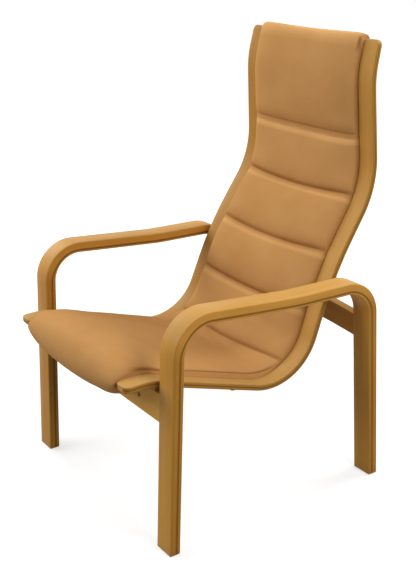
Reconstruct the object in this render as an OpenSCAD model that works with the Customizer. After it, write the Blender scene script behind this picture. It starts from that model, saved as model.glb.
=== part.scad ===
// High-back lounge armchair: two bent laminated side loops, two S-curved seat
// rails between them, and a channelled leather seat and back held by the rails.
// X runs across the chair, Y from front to back and Z up.
// Heights are taken from the floor and depths from the front of the front feet,
// and the finished chair is moved so that the origin is on the floor under its middle.

/* [Side loops] */
// Width over both side loops
overall_w = 620; // [560:5:700]
// Width of a loop's bent strip
loop_w = 54; // [44:1:64]
// Thickness of a loop's bent strip
loop_t = 26; // [20:1:30]
// Depth at the floor, over the feet
loop_depth = 604; // [560:4:640]
// Height of the arm's front corner before it is bent round
arm_front_h = 546; // [520:1:580]
// Height of the lowest point of the arm before it is eased
arm_dip_h = 520; // [500:1:540]
// Height of the arm's rear corner before it is bent round
arm_rear_h = 516; // [500:1:540]
// Distance from the front foot back to the arm's lowest point
arm_dip_y = 344; // [310:2:370]
// Backward lean of the front leg, in degrees
front_leg_lean = 2.3; // [0:0.1:4]
// Forward lean of the rear leg, in degrees
rear_leg_lean = 4; // [1:0.1:6]
// Outer radius of the front bend
front_bend_r = 90; // [60:1:120]
// Outer radius of the rear bend
rear_bend_r = 92; // [60:1:110]
// Radius that eases the dip of the arm
arm_dip_r = 500; // [300:10:900]
// Rounding of the loop's long edges
loop_edge_r = 3; // [1.5:0.5:4]

/* [Seat rails] */
// Width of a seat rail
rail_w = 46; // [38:1:54]
// Thickness of a seat rail
rail_t = 14; // [10:0.5:16]
// Gap between a seat rail and the loop beside it, at the height of the rail's tip
rail_gap = 9; // [6:1:20]
// Inward tilt of each seat rail towards its top, in degrees
rail_tilt = 2.1; // [0.8:0.1:2.8]
// Distance of the rail's front tip ahead of the front feet
nose_reach = 58; // [45:1:75]
// Height of the rail's front tip
nose_h = 389; // [370:1:405]
// Rise of the rail at its front tip, in degrees
nose_rise_angle = 2; // [0:0.5:5]
// Straight length at the front tip
nose_run = 32; // [24:1:44]
// Bend down from the tip to the seat, in degrees
nose_bend_angle = 19.5; // [16:0.5:23]
// Radius of the bend behind the tip
nose_bend_r = 180; // [150:5:220]
// Straight length of the seat
seat_run = 255; // [235:1:270]
// Bend up from the seat into the back, in degrees
hip_bend_angle = 86; // [82:0.5:90]
// Radius of the bend from the seat into the back
hip_bend_r = 128; // [120:2:150]
// Straight length below the small of the back
lumbar_run = 61; // [50:1:90]
// Bend that pushes the small of the back forward, in degrees
lumbar_bend_angle = 12.5; // [10:0.5:17]
// Radius of the bend at the small of the back
lumbar_bend_r = 830; // [700:10:900]
// Straight length below the shoulders
shoulder_run = 62; // [30:1:80]
// Bend that brings the shoulders upright, in degrees
shoulder_bend_angle = 37.5; // [34:0.5:43]
// Radius of the bend at the shoulders
shoulder_bend_r = 204; // [150:2:220]
// Straight length behind the neck
neck_run = 144; // [120:2:170]
// Bend that carries the top backward, in degrees
top_bend_angle = 17; // [12:0.5:22]
// Radius of the bend at the top
top_bend_r = 232; // [200:4:280]
// Straight length at the top
top_run = 46; // [30:1:55]
// Rounding of the rail's long edges
rail_edge_r = 2.5; // [1:0.5:4]
// Rounding of the rail's corners at its ends
rail_end_r = 14; // [8:1:17]

/* [Stretchers and supports] */
// Height of the packing between the front stretcher and the seat rails
packing_h = 9; // [7:0.5:14]
// Width of the packing
packing_w = 20; // [16:1:24]
// Depth of the front stretcher from its lower to its upper edge
front_stretcher_d = 66; // [54:1:70]
// Height of the rear stretcher's lower edge at the legs
rear_stretcher_h = 362; // [330:1:385]
// Depth of the rear stretcher from its lower to its upper edge
rear_stretcher_d = 55; // [48:1:66]
// Rise of the rear stretcher's arch in the middle
rear_stretcher_rise = 14; // [6:1:22]
// Thickness of the stretchers
stretcher_t = 19; // [17:0.5:21]
// Inset of the stretchers from the outer faces of the legs
stretcher_inset = 3; // [0.5:0.5:5]
// Depth of the support rail behind the back, from its lower to its upper edge
support_d = 30; // [26:1:36]
// Thickness of the support rail where it meets the seat rails
support_t = 20; // [18:0.5:24]
// Distance of the support rail's middle below the middle of the arms
support_drop = 8; // [4:0.5:10]
// Width of the bars between the seat rails
bar_w = 26; // [20:1:28]
// Distance of the front bar behind the rail's tip
front_bar_s = 34; // [30:1:40]
// Distance of the top bar below the rail's upper end
top_bar_s = 6; // [4:0.5:10]

/* [Upholstery] */
// Height of the crown of the seat above the rails
seat_crown = 30; // [22:1:42]
// Height of the crown of the back panels above the rails
back_crown = 30; // [22:1:38]
// Height of the sewn channels above the rails
channel_h = 13; // [8:1:18]
// Height of the panels' edges above the rails
panel_edge_h = 2.5; // [1.5:0.5:4]
// How squarely the back's panels stand at their sides, from 2, round, to 8, boxy
side_power = 8; // [2:0.5:10]
// How squarely the seat panel stands at its sides
seat_side_power = 3; // [2:0.5:8]
// Length of the seat panel, measured along the rail
seat_panel_l = 457; // [440:1:475]
// Length of the panel at the hips
hip_panel_l = 139; // [130:1:150]
// Length of the panel at the small of the back
lumbar_panel_l = 139; // [130:1:150]
// Length of the panel at the middle of the back
middle_panel_l = 152; // [140:1:160]
// Length of the panel at the shoulders
shoulder_panel_l = 122; // [112:1:135]
// Distance from a channel to the full height of the panel beside it
shoulder_l = 58; // [30:1:60]
// Distance that the front roll stands ahead of the rail's tip
front_roll_l = 14; // [8:1:20]
// Depth of the front roll below the rail's face, in the middle
front_roll_d = 57; // [48:1:64]
// Distance that the top roll stands above the rail's upper end
top_roll_l = 10; // [6:1:20]
// Depth of the top roll behind the rail's face
top_roll_d = 22; // [18:1:28]
// Width of a webbing strap
strap_w = 50; // [40:1:60]
// Thickness of a webbing strap
strap_t = 2; // [1.5:0.25:2.5]
// Space from one strap to the next, measured along the rail
strap_step = 80; // [70:1:95]
// Space from a bar to the nearest strap
strap_space = 16; // [10:1:24]
// Thickness of the lining
lining_t = 1.5; // [1:0.25:2]
// Distance from the outer edge of a bar to the end of the lining
lining_inset = 4; // [2:0.5:8]
// Overlap of the straps and the lining on the backs of the rails
lining_lap = 12; // [8:1:14]

/* [Fastenings] */
// Diameter of the dowels in the loops
dowel_dia = 10; // [8:0.5:11]
// Length of a dowel
dowel_l = 50; // [40:1:60]
// Spacing of the two dowels in a joint
dowel_step = 34; // [30:1:36]
// Diameter of the dowels between the support rail and the arms
arm_dowel_dia = 8; // [7:0.5:9]
// Diameter of the pins under the seat rails
pin_dia = 8; // [6:0.5:9]
// Length of a pin that is in the front stretcher
pin_l = 20; // [14:1:22]
// Length of a pin that is in the seat rail
pin_bite = 7; // [5:0.5:8]
// Diameter of the pegs in the bars
peg_dia = 6; // [5:0.5:7]
// Length of a peg
peg_l = 36; // [30:1:44]
// Spacing of the two pegs in a joint
peg_step = 13; // [11:0.5:14]
// Diameter of the tie bolts
bolt_dia = 6; // [5:0.5:7]
// Distance from a stretcher's end to its barrel nut
nut_inset = 84; // [70:1:100]
// Length of a tie bolt in the leg
bolt_grip = 34; // [26:1:40]
// Diameter of the barrel nuts
nut_dia = 10; // [9:0.5:12]
// Depth of the barrel nuts below the stretcher's face
nut_recess = 2.5; // [1:0.5:4]
// Diameter of the screws' shanks
screw_dia = 4; // [3:0.5:5]
// Diameter of the screws' heads
screw_head_dia = 8; // [7:0.5:10]
// Height of the screws' heads
screw_head_h = 3; // [2:0.5:4]
// Length of the screws that is in the seat rails
screw_bite = 7; // [5:0.5:8]
// Spacing of the two screws in a seat rail
screw_step = 14; // [12:0.5:16]
// Diameter of a foot glide
glide_dia = 16; // [12:1:18]
// Height of a foot glide below the leg
glide_h = 2; // [1.5:0.5:4]
// Diameter of a foot glide's stem
glide_stem_dia = 5; // [4:0.5:7]
// Length of a foot glide's stem
glide_stem_l = 14; // [10:1:20]

/* [Hidden] */
$fn = 48;

wood = "#D9A765";
dark_wood = "#B98745";
tan_leather = "#C08A52";
back_cloth = "#6B5138";
strap_cloth = "#8A7456";
steel = "#A8A8A6";
nylon = "#4A3A2A";

big = 2400;
soft_gap = 0.3;
seat_gap = 0.1;
bore_gap = 0.1;

// A strip's path is a start [y, z, heading] and a list of steps.
// Each step is [straight length, bend to the left in degrees, radius of the face].
function moved(q, l) = [q[0] + l * cos(q[2]), q[1] + l * sin(q[2]), q[2]];
function behind(q, d) = [q[0] + d * sin(q[2]), q[1] - d * cos(q[2])];
function bent(q, turn, r) =
  let (g = sign(turn) * r, h = q[2] + turn)
  [q[0] - g * sin(q[2]) + g * sin(h), q[1] + g * cos(q[2]) - g * cos(h), h];
function after(q, step) = bent(moved(q, step[0]), step[1], step[2]);
function arc_l(step) = abs(step[1]) * PI / 180 * step[2];
function states(q, steps, i = 0) =
  i == len(steps) ? [q] : concat([q], states(after(q, steps[i]), steps, i + 1));
function path_l(steps, i = 0) =
  i == len(steps) ? 0 : steps[i][0] + arc_l(steps[i]) + path_l(steps, i + 1);
// State at a distance along the path, which runs on straight past both ends
function at(q, steps, s, i = 0) =
  i == len(steps) || s <= steps[i][0]
    ? moved(q, s)
    : let (rest = s - steps[i][0], arc = arc_l(steps[i]))
      rest < arc
        ? bent(moved(q, steps[i][0]), steps[i][1] * rest / arc, steps[i][2])
        : at(after(q, steps[i]), steps, rest - arc, i + 1);
function clamp(x, lo, hi) = max(lo, min(hi, x));
// Steps of the path between two distances
function between(steps, a, b, i = 0) =
  i == len(steps) ? []
  : let (l = steps[i][0], c = arc_l(steps[i]),
         run = clamp(b, 0, l) - clamp(a, 0, l),
         arc = clamp(b - l, 0, c) - clamp(a - l, 0, c),
         rest = between(steps, a - l - c, b - l - c, i + 1))
    run + arc > 0
      ? concat([[run, arc > 0 ? steps[i][1] * arc / c : 0, steps[i][2]]], rest)
      : rest;

// Side loop: corners of its outer face, then the straights that its bends leave
corner_1 = [arm_front_h * tan(front_leg_lean), arm_front_h];
corner_2 = [arm_dip_y, arm_dip_h];
corner_3 = [loop_depth - arm_rear_h * tan(rear_leg_lean), arm_rear_h];
arm_h1 = atan2(corner_2[1] - corner_1[1], corner_2[0] - corner_1[0]);
arm_h2 = atan2(corner_3[1] - corner_2[1], corner_3[0] - corner_2[0]);
leg_h1 = 90 - front_leg_lean;
leg_h2 = -90 + rear_leg_lean;
turn_1 = arm_h1 - leg_h1;
turn_2 = arm_h2 - arm_h1;
turn_3 = leg_h2 - arm_h2;
cut_1 = front_bend_r * tan(abs(turn_1) / 2);
cut_2 = arm_dip_r * tan(abs(turn_2) / 2);
cut_3 = rear_bend_r * tan(abs(turn_3) / 2);
foot_spare = 20;
loop_start = moved([0, 0, leg_h1], -foot_spare);
loop_steps = [
  [norm(corner_1) - cut_1 + foot_spare, turn_1, front_bend_r],
  [norm(corner_2 - corner_1) - cut_1 - cut_2, turn_2, arm_dip_r],
  [norm(corner_3 - corner_2) - cut_2 - cut_3, turn_3, rear_bend_r],
  [norm(corner_3 - [loop_depth, 0]) - cut_3 + foot_spare, 0, 0]
];
loop_l = path_l(loop_steps);
loop_mid_x = overall_w / 2 - loop_w / 2;
loop_inner_x = overall_w / 2 - loop_w;
// Middle of the arm's thickness at a depth y, found by halving
function arm_mid(y, lo = loop_l * 0.35, hi = loop_l * 0.68, n = 22) =
  let (m = (lo + hi) / 2, p = behind(at(loop_start, loop_steps, m), loop_t / 2))
  n == 0 ? p : p[0] < y ? arm_mid(y, m, hi, n - 1) : arm_mid(y, lo, m, n - 1);

// Seat rails
rail_start = [-nose_reach, nose_h, nose_rise_angle];
rail_steps = [
  [nose_run, -nose_bend_angle, nose_bend_r],
  [seat_run, hip_bend_angle, hip_bend_r],
  [lumbar_run, -lumbar_bend_angle, lumbar_bend_r],
  [shoulder_run, shoulder_bend_angle, shoulder_bend_r],
  [neck_run, -top_bend_angle, top_bend_r],
  [top_run, 0, 0]
];
rail_l = path_l(rail_steps);
rail_outer_x = loop_inner_x - rail_gap;
rail_rise = rail_w / 2 * sin(rail_tilt);
function rail_at(s) = at(rail_start, rail_steps, s);
function rail_inner_x(z) = rail_outer_x - rail_w * cos(rail_tilt)
  - (z - nose_h + rail_rise) * tan(rail_tilt);
function rail_mid_x(z) = rail_outer_x - rail_w / 2 * cos(rail_tilt)
  - (z - nose_h) * tan(rail_tilt);

// Depths behind the rails' faces
pad_d = rail_t - soft_gap;
strap_d = rail_t + rail_rise + soft_gap;
lining_d = strap_d + strap_t + soft_gap;
cover_d = lining_d + lining_t + soft_gap;

// Bars between the seat rails, as distances along the rails
front_bar_end = front_bar_s + bar_w;
top_bar_end = rail_l - top_bar_s;
top_bar_start = top_bar_end - bar_w;

// Heights of the stretchers, measured along the leaning legs
stretcher_mid = stretcher_inset + stretcher_t / 2;
// Distance along the rail to the place over the front stretcher, found by halving
stretcher_y = nose_h * tan(front_leg_lean) + stretcher_mid;
function over_stretcher(lo, hi, n = 22) =
  let (m = (lo + hi) / 2)
  n == 0 ? m
  : behind(rail_at(m), rail_t)[0] < stretcher_y ? over_stretcher(m, hi, n - 1)
  : over_stretcher(lo, m, n - 1);
over_s = over_stretcher(0, rail_l / 6);
rail_under_h = behind(rail_at(over_s), rail_t)[1];
front_top = (rail_under_h + stretcher_y * tan(front_leg_lean)) * cos(front_leg_lean) - packing_h;
front_low = front_top - front_stretcher_d;
front_joint = front_low + front_stretcher_d / 2;
// The packing lies beside the edge of the lining, and the pins are in its middle
packing_x = rail_inner_x(nose_h) + lining_lap + 1.5;
pin_x = packing_x + packing_w / 2;
rear_joint = rear_stretcher_h + rear_stretcher_d / 2;

// Place of the support rail: behind the rails, just below the middle of the arms
function support_miss(s) =
  let (p = behind(rail_at(s), rail_t + support_t / 2))
  p[1] + support_drop - arm_mid(p[0])[1];
function support_place(lo, hi, n = 22) =
  let (m = (lo + hi) / 2)
  n == 0 ? m : support_miss(m) < 0 ? support_place(m, hi, n - 1) : support_place(lo, m, n - 1);
support_s = support_place(rail_l * 0.36, rail_l * 0.66);
support_q = rail_at(support_s);
support_mid = behind(support_q, rail_t + support_t / 2);
support_dowel = arm_mid(support_mid[0]);

// Seams of the upholstery, as distances along the rails
seam_1 = seat_panel_l;
seam_2 = seam_1 + hip_panel_l;
seam_3 = seam_2 + lumbar_panel_l;
seam_4 = seam_3 + middle_panel_l;
seam_5 = seam_4 + shoulder_panel_l;

// Panels: rows of points run across the chair, each with an outer and an inner side.
// A point is [s, h]: s along the rails, h above their faces.
columns = 18;
function across(j) = sin(180 * j / columns - 90);
function fullness(v, power = side_power) = sqrt(max(0, 1 - pow(abs(v), power)));
function hang(v) = sqrt(max(0, 1 - pow(v, 4)));
function shoulder(e) = sqrt(1 - pow(1 - clamp(e / shoulder_l, 0, 1), 3));
function puff(crown, a, b, v, power = side_power) =
  panel_edge_h + fullness(v, power) * (channel_h - panel_edge_h
    + (crown - channel_h) * shoulder(a) * shoulder(b));
// Outer and inner points of a roll round an end of the pad: a is the angle gone round,
// way is -1 at the front and 1 at the top
function roll_row(s, reach, edge_reach, up, down, edge_down, a, v, way) =
  let (l = edge_reach + (reach - edge_reach) * fullness(v),
       low = edge_down + (down - edge_down) * hang(v),
       mid = (up - low) / 2, half = (up + low) / 2,
       deep = low - 1.5, part = (1 - cos(a)) / 2)
  [[s + way * l * sin(a), mid + half * cos(a)], [s - way, over_bar - (over_bar + deep) * part]];
over_bar = 0.4;
function even(a, b, n) = [for (k = [0:n]) a + (b - a) * k / n];
function eased(a, b, n) = [for (k = [0:n]) a + (b - a) * (1 - cos(180 * k / n)) / 2];

// Rows of a panel between two seams
function plain_rows(crown, a, b, n) =
  [for (s = eased(a, b, n)) [for (j = [0:columns])
    [[s, puff(crown, s - a, b - s, across(j))], [s, -pad_d]]]];
// Rows of the seat panel, from under the front roll to the first seam
nose_s = front_bar_s - 1.5;
function seat_h(s, v) =
  puff(seat_crown, shoulder_l, seam_1 - soft_gap / 2 - s, v, seat_side_power);
seat_rows = concat(
  [for (a = even(180, 0, 10)) [for (j = [0:columns]) let (v = across(j))
    roll_row(nose_s, nose_s + front_roll_l, nose_s + 2, seat_h(nose_s, v),
             front_roll_d, rail_t + 4, a, v, -1)]],
  [for (s = [nose_s + 14, front_bar_end + 0.5]) [for (j = [0:columns])
    [[s, seat_h(s, across(j))], [s, over_bar]]]],
  [for (s = concat(even(front_bar_end + 1.5, seam_1 - shoulder_l, 10),
                   [for (k = [1:6]) seam_1 - soft_gap / 2 - shoulder_l * pow(1 - k / 6, 1.7)]))
    [for (j = [0:columns]) [[s, seat_h(s, across(j))], [s, -pad_d]]]]
);
// Rows of the headrest panel, from the last seam to behind the top bar
crest_s = top_bar_end + 1.5;
function head_h(s, v) = puff(back_crown, s - seam_5 - soft_gap / 2, shoulder_l, v);
head_rows = concat(
  [for (s = concat([for (k = [0:6]) seam_5 + soft_gap / 2 + shoulder_l * pow(k / 6, 1.7)],
                   even(seam_5 + shoulder_l + 30, top_bar_start - 1.5, 3)))
    [for (j = [0:columns]) [[s, head_h(s, across(j))], [s, -pad_d]]]],
  [for (s = [top_bar_start - 0.5, top_bar_start + 12]) [for (j = [0:columns])
    [[s, head_h(s, across(j))], [s, over_bar]]]],
  [for (a = even(0, 180, 9)) [for (j = [0:columns]) let (v = across(j))
    roll_row(crest_s, top_bar_s + top_roll_l, top_bar_s + 1, head_h(crest_s, v),
             top_roll_d, rail_t + 1, a, v, 1)]]
);

// Where a panel's point lies in the chair
function placed(p, v) =
  let (y_z = behind(rail_at(p[0]), -p[1]))
  [v * (rail_inner_x(y_z[1]) - soft_gap), y_z[0], y_z[1]];

// Middle of the chair's depth, between the front roll and the hindmost of the rest
roll_front = min([for (row = seat_rows) placed(row[columns / 2][0], 0)[1]]);
hindmost = max(concat([loop_depth],
  [for (s = [0:2:rail_l]) behind(rail_at(s), rail_t)[0]],
  [for (row = head_rows) placed(row[columns / 2][0], 0)[1]]));
mid_y = (roll_front + hindmost) / 2;

module in_place() {
  translate([0, -mid_y, 0])
    children();
}

module both_sides() {
  for (side = [0, 1])
    mirror([side, 0, 0])
      children();
}

// A rectangle with rounded corners, x across and y from -thk - deep to -deep
module strip_section(wid, thk, edge, deep = 0) {
  translate([-wid / 2 + edge, -deep - thk])
    square([wid - 2 * edge, thk]);
  if (edge > 0) {
    translate([-wid / 2, -deep - thk + edge])
      square([wid, thk - 2 * edge]);
    for (sx = [-1, 1], y = [-deep - edge, -deep - thk + edge])
      translate([sx * (wid / 2 - edge), y])
        circle(r = edge, $fn = 24);
  }
}

// One straight and one bent length of a strip, whose section is the child
module straight_length(q, l) {
  translate([0, q[0], q[1]])
    rotate([q[2], 0, 0])
      translate([0, l, 0])
        rotate([90, 0, 0])
          linear_extrude(l)
            children();
}

module bent_length(q, turn, r) {
  g = sign(turn);
  centre = behind(q, -g * r);
  translate([0, centre[0], centre[1]])
    rotate([90, 0, 90])
      rotate([0, 0, g > 0 ? q[2] - 90 : q[2] + 90 + turn])
        rotate_extrude(angle = abs(turn), $fn = 180)
          translate([r, 0])
            rotate(g * 90)
              children();
}

// A strip along a path, centred on X. The straight lengths run a little way into the
// bends, a hair thinner than them, so that the strip is one piece.
lap = 0.5;
hair = 0.02;
module bent_strip(start, steps, wid, thk, edge, deep = 0) {
  q = states(start, steps);
  for (i = [0:len(steps) - 1]) {
    before = i > 0 ? lap : 0;
    beyond = steps[i][1] != 0 ? lap : 0;
    if (steps[i][0] > 0)
      straight_length(moved(q[i], -before), steps[i][0] + before + beyond)
        strip_section(wid - 2 * hair, thk - 2 * hair, edge, deep + hair);
    if (steps[i][1] != 0)
      bent_length(moved(q[i], steps[i][0]), steps[i][1], steps[i][2])
        strip_section(wid, thk, edge, deep);
  }
}

// A band that follows the rails between two distances
module rail_band(a, b, wid, thk, deep) {
  bent_strip(rail_at(a), between(rail_steps, a, b), wid, thk, 0, deep);
}

// The space between the rails' inner sides, widened by extra at each side
module between_rails(extra) {
  rotate([90, 0, 0])
    linear_extrude(big, center = true)
      polygon([
        [-rail_inner_x(0) - extra, 0], [rail_inner_x(0) + extra, 0],
        [rail_inner_x(big) + extra, big], [-rail_inner_x(big) - extra, big]
      ]);
}

// Places in the frames of the leaning legs, whose outer faces are at Y zero
module in_front_leg() {
  rotate([-front_leg_lean, 0, 0])
    children();
}

module in_rear_leg() {
  translate([0, loop_depth, 0])
    rotate([rear_leg_lean, 0, 0])
      children();
}

// The frame of the rails at a distance: Y goes behind their faces and Z runs along them
module in_rail(s) {
  q = rail_at(s);
  translate([0, q[0], q[1]])
    rotate([q[2] - 90, 0, 0])
      children();
}

// The same places on the left rail, which tilts inward
module tilted() {
  translate([rail_outer_x, 0, nose_h + rail_rise])
    rotate([0, -rail_tilt, 0])
      translate([-rail_w / 2, 0, -nose_h])
        children();
}

// A pin along X whose middle is at the child's origin
module cross_pin(dia, l) {
  rotate([0, 90, 0])
    cylinder(d = dia, h = l, center = true);
}

// Pins of one joint between a leg and a stretcher, with y in the stretcher's middle
module joint_dowels(z, y, dia, l) {
  for (k = [-0.5, 0.5])
    translate([loop_inner_x, y, z + k * dowel_step])
      cross_pin(dia, l);
}

// The dowel between the support rail and an arm
module arm_dowel(dia, l) {
  translate([loop_inner_x, support_dowel[0], support_dowel[1]])
    cross_pin(dia, l);
}

module tie_bolt(z, y, dia, spare) {
  translate([loop_inner_x - nut_inset - nut_dia / 2 - spare, y, z])
    rotate([0, 90, 0])
      cylinder(d = dia, h = nut_inset + nut_dia / 2 + bolt_grip + 2 * spare);
}

// Bores of one joint, cut in both pieces
module joint_bores(z, y) {
  joint_dowels(z, y, dowel_dia + 2 * bore_gap, dowel_l + 2);
  tie_bolt(z, y, bolt_dia + 2 * bore_gap, 1);
}

module all_joint_bores() {
  in_front_leg()
    joint_bores(front_joint, stretcher_mid);
  in_rear_leg()
    joint_bores(rear_joint, -stretcher_mid);
}

// Feet of the left loop, with Z zero on the floor
module at_left_feet() {
  translate([loop_mid_x, loop_t / 2 / cos(front_leg_lean), 0])
    children();
  translate([loop_mid_x, loop_depth - loop_t / 2 / cos(rear_leg_lean), 0])
    children();
}

module side_loop() {
  color(wood)
    difference() {
      translate([loop_mid_x, 0, 0])
        bent_strip(loop_start, loop_steps, loop_w, loop_t, loop_edge_r);
      translate([0, 0, glide_h - big / 2])
        cube(big, center = true);
      all_joint_bores();
      arm_dowel(arm_dowel_dia + 2 * bore_gap, dowel_l + 2);
      at_left_feet()
        cylinder(d = glide_stem_dia + 2 * bore_gap, h = glide_h + glide_stem_l + 1);
    }
}

// Corners cut away at one end of a rail, seen from the front
module rail_end(s, way) {
  in_rail(s)
    both_sides()
      translate([rail_w / 2 - rail_end_r, -1, -way * rail_end_r])
        difference() {
          translate([0, 0, way > 0 ? 0 : -rail_end_r - 1])
            cube([rail_end_r + 1, rail_t + 2, rail_end_r + 1]);
          translate([0, -1, 0])
            rotate([-90, 0, 0])
              cylinder(r = rail_end_r, h = rail_t + 4);
        }
}

module seat_rail() {
  color(wood)
    difference() {
      tilted()
        difference() {
          bent_strip(rail_start, rail_steps, rail_w, rail_t, rail_edge_r);
          rail_end(0, -1);
          rail_end(rail_l, 1);
        }
      rail_pin(pin_dia + 2 * bore_gap, 1);
      back_screws(screw_dia + 2 * bore_gap, 0, 1);
      bar_pegs(peg_dia + 2 * bore_gap, peg_l + 2);
    }
}

// A board with eased long edges: X is its length, Y its thickness, Z its depth
board_edge_r = 2.5;
module board(l, t, d) {
  rotate([90, 0, 90])
    linear_extrude(l, center = true)
      translate([t / 2, t])
        strip_section_turned(t, d);
}

module strip_section_turned(t, d) {
  translate([0, d - t])
    strip_section(t, d, board_edge_r);
}

stretcher_l = 2 * (loop_inner_x - seat_gap);

module front_stretcher() {
  color(wood)
    difference() {
      in_front_leg()
        translate([0, stretcher_inset, front_low])
          board(stretcher_l, stretcher_t, front_stretcher_d);
      both_sides() {
        all_joint_bores();
        in_front_leg()
          nut_bore(front_joint, stretcher_mid, -1);
        rail_pin(pin_dia + 2 * bore_gap, 1);
      }
    }
}

// The cross bore of a barrel nut opens on the face on the given side
module nut_bore(z, y, side) {
  translate([loop_inner_x - nut_inset, y - side * (stretcher_t / 2 - nut_floor), z])
    rotate([side < 0 ? 90 : -90, 0, 0])
      cylinder(d = nut_dia + 2 * bore_gap, h = stretcher_t);
}
nut_floor = 3;

// The rear stretcher's arch is a circle through its ends and its rise
arch_r = (pow(loop_inner_x, 2) + pow(rear_stretcher_rise, 2)) / (2 * rear_stretcher_rise);
module arch_disc(end_h) {
  translate([0, -stretcher_inset, end_h + rear_stretcher_rise - arch_r])
    rotate([90, 0, 0])
      cylinder(r = arch_r, h = stretcher_t, $fn = 720);
}

module rear_stretcher() {
  color(wood)
    difference() {
      in_rear_leg()
        intersection() {
          difference() {
            arch_disc(rear_stretcher_h + rear_stretcher_d);
            translate([0, stretcher_t, 0])
              scale([1, 3, 1])
                arch_disc(rear_stretcher_h);
          }
          translate([0, -stretcher_mid, rear_joint])
            cube([stretcher_l, 3 * stretcher_t, 3 * rear_stretcher_d], center = true);
        }
      both_sides() {
        all_joint_bores();
        in_rear_leg()
          nut_bore(rear_joint, -stretcher_mid, 1);
      }
    }
}

// The support rail is cut to the backs of the tilted seat rails, and its middle is
// relieved so that the lining passes
module support_rail() {
  color(wood)
    difference() {
      in_rail(support_s)
        translate([0, rail_t - 2, -support_d / 2])
          board(stretcher_l, support_t + 2, support_d);
      both_sides()
        tilted()
          rail_band(support_s - support_d, support_s + support_d,
                    2 * rail_w, rail_t + seat_gap, 0);
      intersection() {
        rail_band(support_s - support_d, support_s + support_d, big / 4, cover_d, 0);
        between_rails(lining_lap + 2);
      }
      both_sides() {
        arm_dowel(arm_dowel_dia + 2 * bore_gap, dowel_l + 2);
        back_screws(screw_dia + 2 * bore_gap, screw_head_dia + 2 * bore_gap, 1);
      }
    }
}

// Packing between the front stretcher and a rail, cut to the rail's underside
module packing() {
  color(dark_wood)
    difference() {
      in_front_leg()
        translate([packing_x, stretcher_inset, front_top + seat_gap])
          cube([packing_w, stretcher_t, packing_h + rail_t]);
      tilted()
        rail_band(0, seam_1 / 2, 2 * rail_w, 5 * rail_t, seat_gap - 4 * rail_t);
      rail_pin(pin_dia + 2 * bore_gap, 1);
    }
}

// A bar between the rails, in line with their faces and backs
module bar(a, b) {
  color(dark_wood)
    difference() {
      intersection() {
        rail_band(a, b, big / 4, rail_t, 0);
        between_rails(-seat_gap);
      }
      both_sides()
        bar_pegs(peg_dia + 2 * bore_gap, peg_l + 2);
    }
}

module bar_pegs(dia, l) {
  for (s = [front_bar_s + bar_w / 2, top_bar_start + bar_w / 2], k = [-0.5, 0.5]) {
    q = behind(rail_at(s + k * peg_step), rail_t / 2);
    translate([rail_inner_x(q[1]), q[0], q[1]])
      cross_pin(dia, l);
  }
}

// The pin that holds a rail in place on the front stretcher
module rail_pin(dia, spare) {
  in_front_leg()
    translate([pin_x, stretcher_mid, front_top - pin_l - spare])
      cylinder(d = dia, h = pin_l + packing_h + pin_bite + 2 * spare);
}

// The two screws that hold a rail to the support rail
module back_screws(dia, head_dia, spare) {
  back = rail_t + support_t;
  for (k = [-0.5, 0.5])
    in_rail(support_s)
      translate([rail_mid_x(support_q[1]), 0, k * screw_step])
        rotate([-90, 0, 0]) {
          translate([0, 0, rail_t - screw_bite - spare])
            cylinder(d = dia, h = back - rail_t + screw_bite + spare - screw_head_h / 2);
          if (head_dia > screw_head_dia)
            translate([0, 0, back - screw_head_h])
              cylinder(d = head_dia, h = screw_head_h + 1);
          if (head_dia == screw_head_dia)
            translate([0, 0, back - screw_head_h + seat_gap])
              cylinder(d = head_dia, h = screw_head_h - seat_gap);
        }
}

module support_screws() {
  color(steel)
    both_sides()
      back_screws(screw_dia, screw_head_dia, 0);
}

strap_first = front_bar_end + strap_space;
strap_room = top_bar_start - strap_space - strap_first - strap_w;
strap_count = floor(strap_room / strap_step) + 1;
module webbing_straps() {
  color(strap_cloth)
    intersection() {
      for (k = [0:strap_count - 1])
        let (s = strap_first + k * strap_room / (strap_count - 1))
          rail_band(s, s + strap_w, big / 4, strap_t, strap_d);
      between_rails(lining_lap - 2);
    }
}

module back_lining() {
  color(back_cloth)
    intersection() {
      rail_band(front_bar_s + lining_inset, top_bar_end - lining_inset, big / 4, lining_t, lining_d);
      between_rails(lining_lap);
    }
}

// A closed panel from rows of points, each with an outer and an inner point
module panel(rows) {
  n = len(rows) - 1;
  wide = columns + 1;
  outer = [for (row = rows, j = [0:columns]) placed(row[j][0], across(j))];
  inner = [for (row = rows, j = [0:columns]) placed(row[j][1], across(j))];
  far = len(outer);
  skin = [for (i = [0:n - 1], j = [0:columns - 1])
    let (a = i * wide + j)
    each [[a, a + wide, a + 1], [a + 1, a + wide, a + wide + 1],
          [far + a, far + a + 1, far + a + wide],
          [far + a + 1, far + a + wide + 1, far + a + wide]]];
  ends = [for (j = [0:columns - 1])
    let (b = n * wide + j)
    each [[j, j + 1, far + j], [j + 1, far + j + 1, far + j],
          [b, far + b, b + 1], [b + 1, far + b, far + b + 1]]];
  sides = [for (i = [0:n - 1])
    let (a = i * wide, b = a + columns)
    each [[a, far + a, a + wide], [a + wide, far + a, far + a + wide],
          [b, b + wide, far + b], [b + wide, far + b + wide, far + b]]];
  color(tan_leather)
    polyhedron(concat(outer, inner), concat(skin, ends, sides), convexity = 6);
}

module plain_panel(crown, a, b) {
  panel(plain_rows(crown, a + soft_gap / 2, b - soft_gap / 2, 12));
}

module dowels() {
  color(dark_wood)
    both_sides() {
      in_front_leg()
        joint_dowels(front_joint, stretcher_mid, dowel_dia, dowel_l);
      in_rear_leg()
        joint_dowels(rear_joint, -stretcher_mid, dowel_dia, dowel_l);
      arm_dowel(arm_dowel_dia, dowel_l);
    }
}

module pegs() {
  color(dark_wood)
    both_sides()
      bar_pegs(peg_dia, peg_l);
}

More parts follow.
